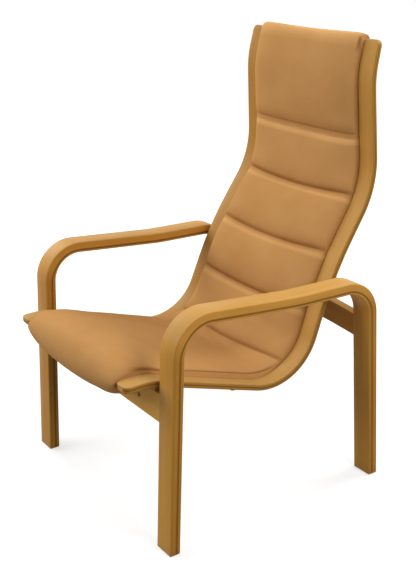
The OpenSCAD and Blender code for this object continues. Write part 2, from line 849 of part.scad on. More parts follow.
module locating_pins() {
  color(dark_wood)
    both_sides()
      rail_pin(pin_dia, 0);
}

module tie_bolts() {
  color(steel)
    both_sides() {
      in_front_leg()
        tie_bolt(front_joint, stretcher_mid, bolt_dia, 0);
      in_rear_leg()
        tie_bolt(rear_joint, -stretcher_mid, bolt_dia, 0);
    }
}

module barrel_nut(z, y, side) {
  difference() {
    translate([loop_inner_x - nut_inset, y - side * (stretcher_t / 2 - nut_floor - seat_gap), z])
      rotate([side < 0 ? 90 : -90, 0, 0])
        cylinder(d = nut_dia, h = stretcher_t - nut_floor - nut_recess - seat_gap);
    tie_bolt(z, y, bolt_dia + 2 * bore_gap, 1);
  }
}

module barrel_nuts() {
  color(steel)
    both_sides() {
      in_front_leg()
        barrel_nut(front_joint, stretcher_mid, -1);
      in_rear_leg()
        barrel_nut(rear_joint, -stretcher_mid, 1);
    }
}

module foot_glides() {
  color(nylon)
    both_sides()
      at_left_feet() {
        cylinder(d = glide_dia, h = glide_h - seat_gap / 2);
        cylinder(d = glide_stem_dia, h = glide_h + glide_stem_l);
      }
}

in_place() side_loop();  // left_side_loop
in_place() mirror([1, 0, 0]) side_loop();  // right_side_loop
in_place() seat_rail();  // left_seat_rail
in_place() mirror([1, 0, 0]) seat_rail();  // right_seat_rail
in_place() front_stretcher();
in_place() rear_stretcher();
in_place() support_rail();
in_place() bar(front_bar_s, front_bar_end);  // front_bar
in_place() bar(top_bar_start, top_bar_end);  // top_bar
in_place() packing();  // left_packing
in_place() mirror([1, 0, 0]) packing();  // right_packing
in_place() webbing_straps();
in_place() back_lining();
in_place() panel(seat_rows);  // seat_panel
in_place() plain_panel(back_crown, seam_1, seam_2);  // hip_panel
in_place() plain_panel(back_crown, seam_2, seam_3);  // lumbar_panel
in_place() plain_panel(back_crown, seam_3, seam_4);  // middle_panel
in_place() plain_panel(back_crown, seam_4, seam_5);  // shoulder_panel
in_place() panel(head_rows);  // headrest_panel
in_place() dowels();
in_place() pegs();
in_place() locating_pins();
in_place() tie_bolts();
in_place() barrel_nuts();
in_place() support_screws();
in_place() foot_glides();
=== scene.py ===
"""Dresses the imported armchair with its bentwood, leather and cloth, and lights it."""

import logging
import math
from bisect import bisect_right
from collections.abc import Callable, Iterable, Mapping, Sequence
from dataclasses import dataclass
from enum import Enum
from functools import reduce
from math import radians

import bmesh
import bpy
from bmesh.types import BMEdge, BMesh, BMVert
from bpy.types import Material, NodeTree, Object
from mathutils import Matrix, Vector


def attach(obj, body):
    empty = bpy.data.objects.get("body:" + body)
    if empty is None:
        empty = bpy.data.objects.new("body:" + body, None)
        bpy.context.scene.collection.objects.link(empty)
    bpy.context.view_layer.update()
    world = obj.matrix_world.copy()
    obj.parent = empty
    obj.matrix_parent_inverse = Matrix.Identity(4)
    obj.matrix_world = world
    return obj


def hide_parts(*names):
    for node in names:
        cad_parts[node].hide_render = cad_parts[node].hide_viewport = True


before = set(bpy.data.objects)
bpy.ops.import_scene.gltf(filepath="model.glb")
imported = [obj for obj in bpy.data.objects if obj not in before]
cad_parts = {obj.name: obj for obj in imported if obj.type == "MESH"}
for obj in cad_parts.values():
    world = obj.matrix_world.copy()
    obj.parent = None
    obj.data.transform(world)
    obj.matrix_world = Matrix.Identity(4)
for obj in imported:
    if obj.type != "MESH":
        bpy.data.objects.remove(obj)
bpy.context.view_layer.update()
LOG = logging.getLogger("armchair")

# Distance from the front feet's face line back to the middle of the chair's box.
MID_DEPTH = 0.283793

Triple = tuple[float, float, float]

# Names of what the meshes hold for the materials.
GRAIN = "grain"
# The leather's painted shade and painted highlight, held by the mesh.
SHADE_AND_HIGHLIGHT = "crease"
PUCKER = "pucker"


# Paths


@dataclass(frozen=True)
class State:
    """A place on a strip's face line: depth y, height z and heading in radians."""

    y: float
    z: float
    heading: float

    def moved(self, length: float) -> "State":
        """Return the state after a straight length."""
        return State(
            self.y + length * math.cos(self.heading),
            self.z + length * math.sin(self.heading),
            self.heading,
        )

    def bent(self, angle: float, radius: float) -> "State":
        """Return the state after a bend.

        Args:
            angle: The bend in radians, to the left where it is positive.
            radius: The radius of the face line.

        Returns:
            The state at the bend's end.
        """
        side = math.copysign(radius, angle)
        end = self.heading + angle
        return State(
            self.y - side * math.sin(self.heading) + side * math.sin(end),
            self.z + side * math.cos(self.heading) - side * math.cos(end),
            end,
        )

    def off(self, height: float) -> tuple[float, float]:
        """Return the y and z of a point at a height above the face."""
        return (
            self.y - height * math.sin(self.heading),
            self.z + height * math.cos(self.heading),
        )


@dataclass(frozen=True)
class Step:
    """A straight length and the bend after it."""

    run: float
    turn: float = 0.0
    radius: float = 1.0

    @property
    def arc(self) -> float:
        """Length of the bend along the face."""
        return abs(self.turn) * self.radius


@dataclass(frozen=True)
class Path:
    """A chain of straights and bends in the plane of depth and height."""

    start: State
    steps: tuple[Step, ...]

    @property
    def length(self) -> float:
        """Length of the whole face line."""
        return sum(step.run + step.arc for step in self.steps)

    def at(self, distance: float) -> State:
        """Find the state at a distance; the path runs on straight past its ends.

        Args:
            distance: Distance along the path.

        Returns:
            The state there.
        """
        state, rest = self.start, distance
        for step in self.steps:
            if rest <= step.run:
                return state.moved(rest)
            state, rest = state.moved(step.run), rest - step.run
            if rest < step.arc:
                return state.bent(step.turn * rest / step.arc, step.radius)
            if step.turn:
                state, rest = state.bent(step.turn, step.radius), rest - step.arc
        return state.moved(rest)

    def stations(self, straight: float, angle: float) -> list[float]:
        """Return the distances of the rings of a sweep.

        Args:
            straight: The longest spacing on a straight length.
            angle: The largest turn between two rings of a bend, in radians.

        Returns:
            Distances from the start to the end.
        """
        marks, here = [0.0], 0.0
        for step in self.steps:
            for length, parts in (
                (step.run, max(1, math.ceil(step.run / straight))),
                (step.arc, max(1, math.ceil(abs(step.turn) / angle))),
            ):
                if length > 1e-6:
                    marks += [here + length * (k + 1) / parts for k in range(parts)]
                    here += length
        return marks


# Meshes


class Maker:
    """Turns bmeshes into pieces of the chair."""

    @staticmethod
    def finish(
        bm: BMesh,
        name: str,
        material: Material,
        slot: str,
        replaces: Sequence[str],
        sharp: float = 40.0,
        recalc: bool = True,
    ) -> Object:
        """Make an object of a bmesh and hand it to the chair.

        Args:
            bm: The bmesh, which is freed.
            name: The piece's name.
            material: Its material.
            slot: The record's material slot; not used.
            replaces: CAD nodes that the piece stands for.
            sharp: Edges that turn more than this many degrees stay sharp.
            recalc: Whether the normals are worked out again.

        Returns:
            The new object.
        """
        if recalc:
            bmesh.ops.recalc_face_normals(bm, faces=bm.faces)
        mesh = bpy.data.meshes.new(name)
        bm.to_mesh(mesh)
        bm.free()
        mesh.polygons.foreach_set("use_smooth", [True] * len(mesh.polygons))
        mesh.set_sharp_from_angle(angle=radians(sharp))
        mesh.materials.append(material)
        piece = bpy.data.objects.new(name, mesh)
        bpy.context.scene.collection.objects.link(piece)
        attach(piece, "root")
        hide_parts(*replaces)
        LOG.info("%s: %d faces", name, len(mesh.polygons))
        return piece

    @classmethod
    def pair(cls, left: BMesh, name: str, material: Material, shift: Triple) -> None:
        """Finish a left piece and its mirrored twin, which has another grain.

        Args:
            left: The left piece.
            name: The CAD node's name without its side.
            material: The material of both.
            shift: How far the twin's grain is moved.
        """
        right = left.copy()
        bmesh.ops.scale(right, vec=(-1, 1, 1), verts=right.verts)
        bmesh.ops.reverse_faces(right, faces=right.faces)
        grain = right.verts.layers.float_vector[GRAIN]
        for vert in right.verts:
            vert[grain] = vert[grain] + Vector(shift)
        for side, piece in (("left", left), ("right", right)):
            node = f"{side}_{name}"
            cls.finish(piece, f"{node}_dressed", material, "bent_wood", [node])


@dataclass
class Strip:
    """A bent laminated strip with rounded long edges."""

    path: Path
    width: float
    thickness: float
    edge: float
    end_corner: float = 0.0
    end_nose: float = 0.0
    straight: float = 0.05
    angle: float = 2.5

    def squeeze(self, distance: float) -> tuple[float, float]:
        """Find how much of its width and thickness the strip has near its ends.

        Args:
            distance: Distance along the face line.

        Returns:
            The shares of the width and of the thickness.
        """
        left = min(distance, self.path.length - distance)
        shares = []
        for full, radius in (
            (self.width / 2, self.end_corner),
            (self.thickness / 2, self.end_nose),
        ):
            drop = max(0.0, radius - left)
            loss = radius - math.sqrt(max(0.0, radius**2 - drop**2))
            shares.append((full - loss) / full)
        return shares[0], shares[1]

    def section(self, bm: BMesh) -> list[BMEdge]:
        """Make the rounded section as one face.

        Args:
            bm: The bmesh that it goes into.

        Returns:
            The section's edges.
        """
        made = bmesh.ops.create_grid(bm, x_segments=1, y_segments=1, size=0.5)
        bmesh.ops.scale(bm, vec=(self.width, self.thickness, 1), verts=made["verts"])
        bmesh.ops.bevel(
            bm,
            geom=made["verts"],
            offset=self.edge,
            segments=4,
            profile=0.5,
            affect="VERTICES",
            material=-1,
        )
        bmesh.ops.translate(bm, vec=(0, -self.thickness / 2, 0), verts=bm.verts)
        return list(bm.edges)

    def lay(
        self,
        verts: Iterable[BMVert],
        distance: float,
        layers: tuple[bmesh.types.BMLayerItem, bmesh.types.BMLayerItem],
    ) -> None:
        """Put a ring of the strip at its distance along the path.

        Args:
            verts: The ring's vertices.
            distance: Distance along the face line.
            layers: The layers that hold the section and the grain.
        """
        section, grain = layers
        state = self.path.at(distance)
        wide, thick = self.squeeze(distance)
        mid = -self.thickness / 2
        for vert in verts:
            across, depth = vert[section][0], vert[section][1]
            y, z = state.off(mid + (depth - mid) * thick)
            vert.co = (across * wide, y - MID_DEPTH, z)
            vert[grain] = (across, distance, depth)

    def marks(self) -> list[float]:
        """Find where the rings go, which are close at rounded ends.

        Returns:
            Their distances along the path.
        """
        marks = self.path.stations(self.straight, radians(self.angle))
        for reach in (self.end_corner, self.end_nose):
            if reach:
                fine = [reach * (1 - math.cos(radians(a))) for a in range(10, 91, 10)]
                marks += fine + [self.path.length - d for d in fine]
        return sorted({round(mark, 6) for mark in marks})

    def build(self) -> BMesh:
        """Sweep the section along the path.

        Returns:
            The strip, centred on X.
        """
        bm = bmesh.new()
        edges = self.section(bm)
        vectors = bm.verts.layers.float_vector
        layers = vectors.new("section"), vectors.new(GRAIN)
        for vert in bm.verts:
            vert[layers[0]] = vert.co.copy()
        first, *others = self.marks()
        self.lay(list(bm.verts), first, layers)
        for mark in others:
            grown = bmesh.ops.extrude_edge_only(bm, edges=edges)["geom"]
            ring = {g for g in grown if isinstance(g, BMVert)}
            edges = [g for g in grown if isinstance(g, BMEdge) and set(g.verts) <= ring]
            self.lay(ring, mark, layers)
        bmesh.ops.contextual_create(bm, geom=edges)
        vectors.remove(vectors["section"])
        return bm


# Materials

Socket = bpy.types.NodeSocket
Value = Socket | float | tuple[float, ...] | None
Colour = Triple


class Nodes:
    """A short way to add and link the nodes of a tree."""

    def __init__(self, tree: NodeTree) -> None:
        """Keep the tree that the nodes go into."""
        self.tree = tree

    def add(self, kind: str, **values: object) -> bpy.types.Node:
        """Add a node and set its properties.

        Args:
            kind: The node's type name without the ShaderNode prefix.
            **values: Properties of the node.

        Returns:
            The node.
        """
        node = self.tree.nodes.new("ShaderNode" + kind)
        for key, value in values.items():
            setattr(node, key, value)
        return node

    def feed(self, node: bpy.types.Node, **inputs: Value) -> bpy.types.Node:
        """Set or link a node's inputs.

        Args:
            node: The node.
            **inputs: Numbers, colours or the outputs of other nodes, each under its
                input's name with _ for spaces, or under i and the input's number.

        Returns:
            The node.
        """
        for key, value in inputs.items():
            numbered = key[0] == "i" and key[1:].isdigit()
            socket = node.inputs[int(key[1:]) if numbered else key.replace("_", " ")]
            if isinstance(value, Socket):
                self.tree.links.new(value, socket)
            else:
                socket.default_value = (*value, 1) if socket.type == "RGBA" else value
        return node

    def shade(self, **inputs: Value) -> None:
        """Set or link the inputs of the material's shader."""
        self.feed(self.tree.nodes["Principled BSDF"], **inputs)

    def group(self, tree: NodeTree, **inputs: Value) -> Sequence[Socket]:
        """Add a node group, feed it and return its outputs."""
        return self.feed(self.add("Group", node_tree=tree), **inputs).outputs

    def math(self, operation: str, a: Value, b: Value = 0.0, clamp: bool = False) -> Socket:
        """Return the result of a Math node."""
        node = self.add("Math", operation=operation, use_clamp=clamp)
        return self.feed(node, i0=a, i1=b).outputs[0]

    def times(self, a: Value, b: Value, clamp: bool = False) -> Socket:
        """Return a product."""
        return self.math("MULTIPLY", a, b, clamp)

    def plus(self, *values: Value) -> Socket:
        """Return a sum, which is added up from the left."""
        return reduce(lambda a, b: self.math("ADD", a, b), values)

    def apart(self, a: Value, b: Value) -> Socket:
        """Return the distance between two numbers."""
        return self.math("ABSOLUTE", self.math("SUBTRACT", a, b))

    def scaled(self, vector: Value, *by: float) -> Socket:
        """Return a vector multiplied by three numbers."""
        node = self.add("VectorMath", operation="MULTIPLY")
        return self.feed(node, i0=vector, i1=by).outputs[0]

    def noise(self, vector: Value, scale: float, detail: float, rough: float) -> Socket:
        """Return the factor of a Noise texture."""
        inputs = {"Vector": vector, "Scale": scale, "Detail": detail, "Roughness": rough}
        return self.feed(self.add("TexNoise"), **inputs).outputs["Fac"]

    def ramp(
        self, value: Value, low: float, high: float, a: float = 0.0, b: float = 1.0
    ) -> Socket:
        """Return a value mapped smoothly from one range to another."""
        node = self.add("MapRange", interpolation_type="SMOOTHSTEP")
        return self.feed(node, i0=value, i1=low, i2=high, i3=a, i4=b).outputs[0]

    def mix(self, factor: Value, a: Value, b: Value, blend: str = "MIX") -> Socket:
        """Return two colours mixed."""
        node = self.add("Mix", data_type="RGBA", blend_type=blend)
        return self.feed(node, i0=factor, i6=a, i7=b).outputs[2]

    def tint(self, colour: Value, *by: float) -> Socket:
        """Return a colour multiplied by red, green and blue."""
        return self.mix(1.0, colour, by, "MULTIPLY")

    def toned(self, factor: Value, colour: Value, *by: float) -> Socket:
        """Return a colour mixed with its tint."""
        return self.mix(factor, colour, self.tint(colour, *by))

    def bump(self, strength: float, distance: float, height: Value, **more: Value) -> Socket:
        """Return the normal of a Bump node."""
        inputs = {"Strength": strength, "Distance": distance, "Height": height, **more}
        return self.feed(self.add("Bump"), **inputs).outputs[0]

    def place(self) -> Socket:
        """Return the place on the object, in metres."""
        return self.add("TexCoord").outputs["Object"]

    def layer(self, name: str, output: str = "Fac") -> Socket:
        """Return what a mesh holds under a name."""
        return self.add("Attribute", attribute_name=name).outputs[output]

    def joined(self, x: Value, y: Value, z: Value = 0.0) -> Socket:
        """Return a vector of three numbers."""
        return self.feed(self.add("CombineXYZ"), i0=x, i1=y, i2=z).outputs[0]

    def split(self, vector: Value) -> tuple[Socket, ...]:
        """Return the three parts of a vector."""
        return tuple(self.feed(self.add("SeparateXYZ"), i0=vector).outputs)


Given = Mapping[str, Socket]
Fill = Callable[[Nodes, Given], dict[str, Socket]]


class SocketKind(Enum):
    """Kinds of socket on a node group."""

    NUMBER = "NodeSocketFloat"
    COLOUR = "NodeSocketColor"
    VECTOR = "NodeSocketVector"

    @classmethod
    def of(cls, value: Value) -> "SocketKind":
        """Return the kind that takes a default value; a vector has none.

        Args:
            value: The default value.

        Returns:
            The kind of socket.
        """
        if value is None:
            return cls.VECTOR
        return cls.COLOUR if isinstance(value, tuple) else cls.NUMBER


class Effects:
    """The shared effects: wood grain, ply lines with a painted highlight, leather grain with
    painted shade and highlight, weave and wear.
    """

    def __init__(self) -> None:
        """Build each group once."""
        light, dark = (0.7, 0.4, 0.13), (0.5, 0.25, 0.07)
        self.wood = self.group("wood_grain", self.wood_grain, Light=light, Dark=dark, Seed=0.0)
        self.plies = self.group(
            "ply_lines",
            self.ply_lines,
            Color=(1, 1, 1),
            Half_Width=0.027,
            Thickness=0.022,
            Plies=11.0,
            Glue=0.55,
            Bleach=0.0,
        )
        self.leather = self.group(
            "leather_grain", self.leather_grain, Color=(0.5, 0.25, 0.09), Crease=0.0, Pucker=0.0
        )
        self.weave = self.group(
            "plain_weave",
            self.plain_weave,
            Pitch=0.0012,
            Warp=(0.2, 0.12, 0.07),
            Weft=(0.16, 0.1, 0.06),
        )
        self.wear = self.group("handled_wear", self.handled_wear, Amount=0.5)

    @staticmethod
    def group(name: str, fill: Fill, **inputs: Value) -> NodeTree:
        """Build a node group with a Vector input and more.

        Args:
            name: The group's name.
            fill: Adds the nodes between the inputs and the outputs.
            **inputs: The default values of the other inputs, named with _ for spaces.

        Returns:
            The node group.
        """
        tree = bpy.data.node_groups.new(name, "ShaderNodeTree")
        for key, value in {"Vector": None, **inputs}.items():
            socket = tree.interface.new_socket(
                key.replace("_", " "), in_out="INPUT", socket_type=SocketKind.of(value).value
            )
            if value is not None:
                socket.default_value = (*value, 1) if isinstance(value, tuple) else value
        outputs = fill(Nodes(tree), tree.nodes.new("NodeGroupInput").outputs)
        for key, value in outputs.items():
            kind = SocketKind.COLOUR if value.type == "RGBA" else SocketKind.NUMBER
            tree.interface.new_socket(key, in_out="OUTPUT", socket_type=kind.value)
        sink = tree.nodes.new("NodeGroupOutput")
        for key, value in outputs.items():
            tree.links.new(value, sink.inputs[key])
        return tree

    @staticmethod
    def wood_grain(n: Nodes, given: Given) -> dict[str, Socket]:
        """Draw the grain of clear-lacquered birch; Y of its vector runs along it.

        Args:
            n: The group's nodes.
            given: Its inputs.

        Returns:
            Its outputs by name.
        """
        shift = n.joined(given["Seed"], given["Seed"])
        moved = n.add("VectorMath", operation="ADD")
        vector = n.feed(moved, i0=given["Vector"], i1=shift).outputs[0]
        bands = n.noise(n.scaled(vector, 26, 1.6, 26), 1.0, 3.0, 0.55)
        streaks = n.noise(n.scaled(vector, 260, 5, 260), 1.0, 3.0, 0.6)
        flecks = n.noise(n.scaled(vector, 900, 46, 900), 1.0, 1.0, 0.5)
        cloud = n.noise(vector, 7.0, 2.0, 0.5)
        tone = n.plus(n.times(bands, 0.5), n.times(streaks, 0.32), n.times(cloud, 0.18))
        tone = n.ramp(tone, 0.3, 0.7)
        dash = n.ramp(flecks, 0.62, 0.74)
        colour = n.mix(tone, given["Light"], given["Dark"])
        return {
            "Color": n.toned(n.times(dash, 0.3), colour, 0.72, 0.66, 0.6),
            "Roughness": n.ramp(tone, 0.0, 1.0, 0.34, 0.44),
            "Height": n.plus(n.times(streaks, 0.6), n.times(dash, -0.5)),
        }

    @staticmethod
    def ply_lines(n: Nodes, given: Given) -> dict[str, Socket]:
        """Draw the veneers and the glue line that show on a laminated strip's sides, with a
        painted highlight that brings the sides towards the face colour.

        Args:
            n: The group's nodes.
            given: Its inputs.

        Returns:
            Its outputs by name.
        """
        plain = given["Color"]
        across, _, depth = n.split(given["Vector"])
        out = n.math("SUBTRACT", given["Half Width"], n.math("ABSOLUTE", across))
        side = n.ramp(out, 0.0022, 0.0006)
        share = n.math("DIVIDE", n.times(depth, -1.0), given["Thickness"])
        phase = n.times(share, given["Plies"])
        ply = n.math("FLOOR", n.plus(phase, 0.5))
        away = n.apart(n.math("FRACT", phase), 0.5)
        line = n.times(n.ramp(away, 0.2, 0.05), 0.3)
        tone = n.feed(n.add("TexWhiteNoise", noise_dimensions="1D"), W=ply).outputs[0]
        glue = n.times(n.ramp(n.apart(share, given["Glue"]), 0.13, 0.04), 0.85)
        rim = n.times(n.ramp(share, 0.10, 0.03), 0.35)
        veneer = n.tint(plain, 0.5, 0.45, 0.36)
        colour = n.mix(n.times(tone, 0.35), n.tint(plain, 0.74, 0.7, 0.62), veneer)
        colour = n.mix(line, colour, veneer)
        colour = n.mix(rim, colour, plain)
        # Painted highlight: the arms' sides are brought towards the face colour.
        colour = n.mix(given["Bleach"], colour, plain)
        colour = n.mix(glue, colour, n.tint(plain, 0.3, 0.24, 0.17))
        height = n.times(n.times(glue, side), -1.0)
        return {"Color": n.mix(side, plain, colour), "Height": height}

    @staticmethod
    def leather_grain(n: Nodes, given: Given) -> dict[str, Socket]:
        """Draw smooth leather: grain, clouds, puckers, painted shade in the seams and folds and
        painted highlight on the ridges.

        Args:
            n: The group's nodes.
            given: Its inputs; the shading input is above 0 where painted shade darkens the
                leather and below 0 where painted highlight lightens it.

        Returns:
            Its outputs by name.
        """
        place, crease = given["Vector"], given["Crease"]
        cells = n.add("TexVoronoi", feature="DISTANCE_TO_EDGE")
        n.feed(cells, Vector=place, Scale=620.0, Randomness=1.0)
        grain = n.ramp(cells.outputs["Distance"], 0.0, 0.22)
        fine = n.noise(place, 1500.0, 2.0, 0.6)
        cloud = n.noise(place, 7.0, 3.0, 0.55)
        pull = n.noise(n.scaled(place, 75, 9, 9), 1.0, 2.0, 0.55)
        wide = n.noise(n.scaled(place, 16, 9, 9), 1.0, 2.0, 0.5)
        colour = n.toned(n.ramp(cloud, 0.3, 0.75), given["Color"], 0.9, 0.87, 0.82)
        pores = n.times(n.math("SUBTRACT", 1.0, grain), 0.3)
        colour = n.toned(pores, colour, 0.8, 0.76, 0.7)
        # Painted shade: the colour darkens towards this tint where the shading input is above
        # 0.
        dark = n.tint(colour, 0.5, 0.37, 0.26)
        # Painted highlight: the colour lightens where the shading input is below 0.
        colour = n.toned(n.times(crease, -1.0, clamp=True), colour, 1.3, 1.36, 1.45)
        return {
            "Color": n.mix(n.times(crease, 1.0, clamp=True), colour, dark),
            "Roughness": n.ramp(cloud, 0.3, 0.8, 0.46, 0.56),
            "Grain": n.plus(grain, n.times(fine, 0.3)),
            "Pull": n.plus(n.times(pull, given["Pucker"]), n.times(wide, 0.5)),
        }

    @staticmethod
    def plain_weave(n: Nodes, given: Given) -> dict[str, Socket]:
        """Draw a plain weave over coordinates in metres.

        Args:
            n: The group's nodes.
            given: Its inputs.

        Returns:
            Its outputs by name.
        """
        waves = []
        for part in n.split(given["Vector"])[:2]:
            turns = n.times(n.math("DIVIDE", part, given["Pitch"]), math.tau)
            waves.append(n.math("SINE", turns))
        over = n.ramp(n.times(*waves), -0.25, 0.25)
        cloud = n.noise(given["Vector"], 14.0, 3.0, 0.6)
        woven = n.mix(over, given["Warp"], given["Weft"])
        return {
            "Color": n.toned(n.ramp(cloud, 0.4, 0.7), woven, 0.75, 0.75, 0.75),
            "Height": n.plus(*(n.math("ABSOLUTE", wave) for wave in waves)),
        }

    @staticmethod
    def handled_wear(n: Nodes, given: Given) -> dict[str, Socket]:
        """Draw a mask of handled patches and small scuffs.

        Args:
            n: The group's nodes.
            given: Its inputs.

        Returns:
            Its outputs by name.
        """
        patch = n.ramp(n.noise(given["Vector"], 11.0, 4.0, 0.6), 0.55, 0.75)
        scuff = n.ramp(n.noise(given["Vector"], 130.0, 3.0, 0.7), 0.6, 0.78)
        both = n.plus(n.times(patch, 0.6), n.times(scuff, 0.4))
        return {"Mask": n.times(both, given["Amount"], clamp=True)}


@dataclass(frozen=True)
class Finish:
    """What a surface is made of."""

    name: str

    def dress(self, n: Nodes, effects: Effects) -> None:
        """Add the material's nodes; each finish has its own."""
        raise NotImplementedError

    def build(self, effects: Effects) -> Material:
        """Build the material.

        Args:
            effects: The shared effects.

        Returns:
            The material.
        """
        material = bpy.data.materials.new(self.name)
        material.use_nodes = True
        self.dress(Nodes(material.node_tree), effects)
        return material


@dataclass(frozen=True)
class WoodFinish(Finish):
    """Clear-lacquered wood: a bent strip where it has plies, or else a straight board."""

    light: Colour
    dark: Colour
    seed: float = 0.0
    half_width: float = 0.0
    thickness: float = 0.0
    plies: float = 0.0
    glue: float = 0.55
    # Painted highlight on the arms' sides, which rises over the range of heights below.
    bleach: float = 0.0
    arm_height: tuple[float, float] = (0.44, 0.50)
    # Painted highlight: upward faces are mixed by this share towards the pale colour.
    top_highlight: float = 0.35
    pale: Colour = (0.6, 0.38, 0.16)

    def dress(self, n: Nodes, effects: Effects) -> None:
        """Add the grain, the plies, the painted highlight on upward faces and on the arms'
        sides, and the wear.

        Args:
            n: The material's nodes.
            effects: The shared effects.
        """
        seat = source = n.layer(GRAIN, "Vector") if self.plies else n.place()
        if not self.plies:
            x, y, z = n.split(seat)
            source = n.joined(y, x, z)
        grain = n.group(
            effects.wood, Vector=source, Light=self.light, Dark=self.dark, Seed=self.seed
        )
        colour, height = grain["Color"], grain["Height"]
        if self.plies:
            # Painted highlight on the arms' sides, rising with height; the glue line shifts
            # with it.
            arm = n.times(n.ramp(n.split(n.place())[2], *self.arm_height), self.bleach)
            sides = n.group(
                effects.plies,
                Vector=source,
                Color=colour,
                Half_Width=self.half_width,
                Thickness=self.thickness,
                Plies=self.plies,
                Glue=n.plus(n.times(arm, 0.2), self.glue),
                Bleach=arm,
            )
            colour = sides["Color"]
            height = n.plus(height, n.times(sides["Height"], 2.0))
        # Painted highlight: faces that look up are lightened towards the pale colour.
        upward = n.split(n.add("NewGeometry").outputs["Normal"])[2]
        colour = n.mix(n.times(n.ramp(upward, 0.1, 0.95), self.top_highlight), colour, self.pale)
        wear_and_highlight = n.group(effects.wear, Vector=seat, Amount=0.5)["Mask"]
        n.shade(
            Base_Color=n.toned(n.times(wear_and_highlight, 0.5), colour, 0.86, 0.82, 0.78),
            Roughness=n.plus(grain["Roughness"], n.times(wear_and_highlight, 0.15)),
            Normal=n.bump(0.35, 0.00012, height),
            Specular_IOR_Level=0.05,
        )


@dataclass(frozen=True)
class LeatherFinish(Finish):
    """Smooth semi-matt leather."""

    colour: Colour

    def dress(self, n: Nodes, effects: Effects) -> None:
        """Add the leather, with its pulls under its grain.

        Args:
            n: The material's nodes.
            effects: The shared effects.
        """
        leather = n.group(
            effects.leather,
            Vector=n.place(),
            Color=self.colour,
            Crease=n.layer(SHADE_AND_HIGHLIGHT),
            # Painted shade and painted highlight held by the mesh.
            Pucker=n.layer(PUCKER),
        )
        pulls = n.bump(0.5, 0.0022, leather["Pull"])
        n.shade(
            Base_Color=leather["Color"],
            Roughness=leather["Roughness"],
            Normal=n.bump(0.3, 0.00025, leather["Grain"], Normal=pulls),
            Specular_IOR_Level=0.0,
        )


@dataclass(frozen=True)
class ClothFinish(Finish):
    """Plain woven cloth or webbing."""

    warp: Colour
    weft: Colour
    pitch: float

    def dress(self, n: Nodes, effects: Effects) -> None:
        """Add the weave.

        Args:
            n: The material's nodes.
            effects: The shared effects.
        """
        source = n.layer(GRAIN, "Vector")
        weave = n.group(
            effects.weave, Vector=source, Pitch=self.pitch, Warp=self.warp, Weft=self.weft
        )
        n.shade(
            Base_Color=weave["Color"],
            Roughness=0.9,
            Normal=n.bump(0.5, 0.0004, weave["Height"]),
            Specular_IOR_Level=0.2,
            Sheen_Weight=0.2,
        )


@dataclass(frozen=True)
class SteelFinish(Finish):
    """Darkened steel fixings."""

    colour: Colour
    wear_and_highlight: Colour

    def dress(self, n: Nodes, effects: Effects) -> None:
        """Add the rubbed steel.

        Args:
            n: The material's nodes.
            effects: The shared effects.
        """
        place = n.place()
        wear = n.group(effects.wear, Vector=place, Amount=1.0)["Mask"]
        rough = n.ramp(n.noise(place, 900.0, 2.0, 0.6), 0.3, 0.7, 0.28, 0.45)
        colour = n.mix(wear, self.colour, self.wear_and_highlight)
        n.shade(Base_Color=colour, Roughness=rough, Metallic=1.0)


@dataclass(frozen=True)
class NylonFinish(Finish):
    """Moulded nylon of the foot glides."""

    colour: Colour
    wear_and_highlight: Colour

    def dress(self, n: Nodes, effects: Effects) -> None:
        """Add the scuffed nylon.

        Args:
            n: The material's nodes.
            effects: The shared effects.
        """
        place = n.place()
        wear = n.group(effects.wear, Vector=place, Amount=1.0)["Mask"]
        normal = n.bump(0.3, 0.0001, n.noise(place, 1800.0, 2.0, 0.5))
        n.shade(Base_Color=n.mix(wear, self.colour, self.wear_and_highlight), Roughness=0.5, Normal=normal)


class Surface(Enum):
    """The chair's surfaces and the finish of each."""

    LOOP = WoodFinish(
        "loop_wood",
        (0.64, 0.322, 0.062),
        (0.51, 0.24, 0.039),
        half_width=0.027,
        thickness=0.026,
        plies=13,
        glue=0.6,
        # Painted highlight on the arms' sides.
        bleach=0.7,
    )
    RAIL = WoodFinish(
        "rail_wood",
        (0.6, 0.315, 0.07),
        (0.475, 0.238, 0.046),
        seed=3.1,
        half_width=0.023,
        thickness=0.014,
        plies=7,
        glue=0.5,
    )
    BOARD = WoodFinish("board_wood", (0.62, 0.29, 0.05), (0.5, 0.215, 0.033), seed=7.7)
    # Painted light: a lighter copy of the board wood for the front stretcher, standing for
    # light under the seat's front roll.
    APRON = WoodFinish("lit_board_wood", (0.84, 0.44, 0.075), (0.7, 0.35, 0.05), seed=4.4)
    HIDDEN = WoodFinish("bar_wood", (0.6, 0.36, 0.15), (0.44, 0.24, 0.09), seed=12.3)
    LEATHER = LeatherFinish("tan_leather", (0.58, 0.308, 0.112))
    LINING = ClothFinish("lining_cloth", (0.17, 0.1, 0.055), (0.12, 0.07, 0.04), 0.0014)
    WEBBING = ClothFinish("webbing_cloth", (0.3, 0.2, 0.1), (0.2, 0.14, 0.08), 0.003)
    STEEL = SteelFinish("darkened_steel", (0.1, 0.075, 0.05), (0.16, 0.13, 0.1))
    NYLON = NylonFinish("glide_nylon", (0.05, 0.035, 0.022), (0.14, 0.11, 0.08))


Materials = dict[Surface, Material]


# Wooden frame


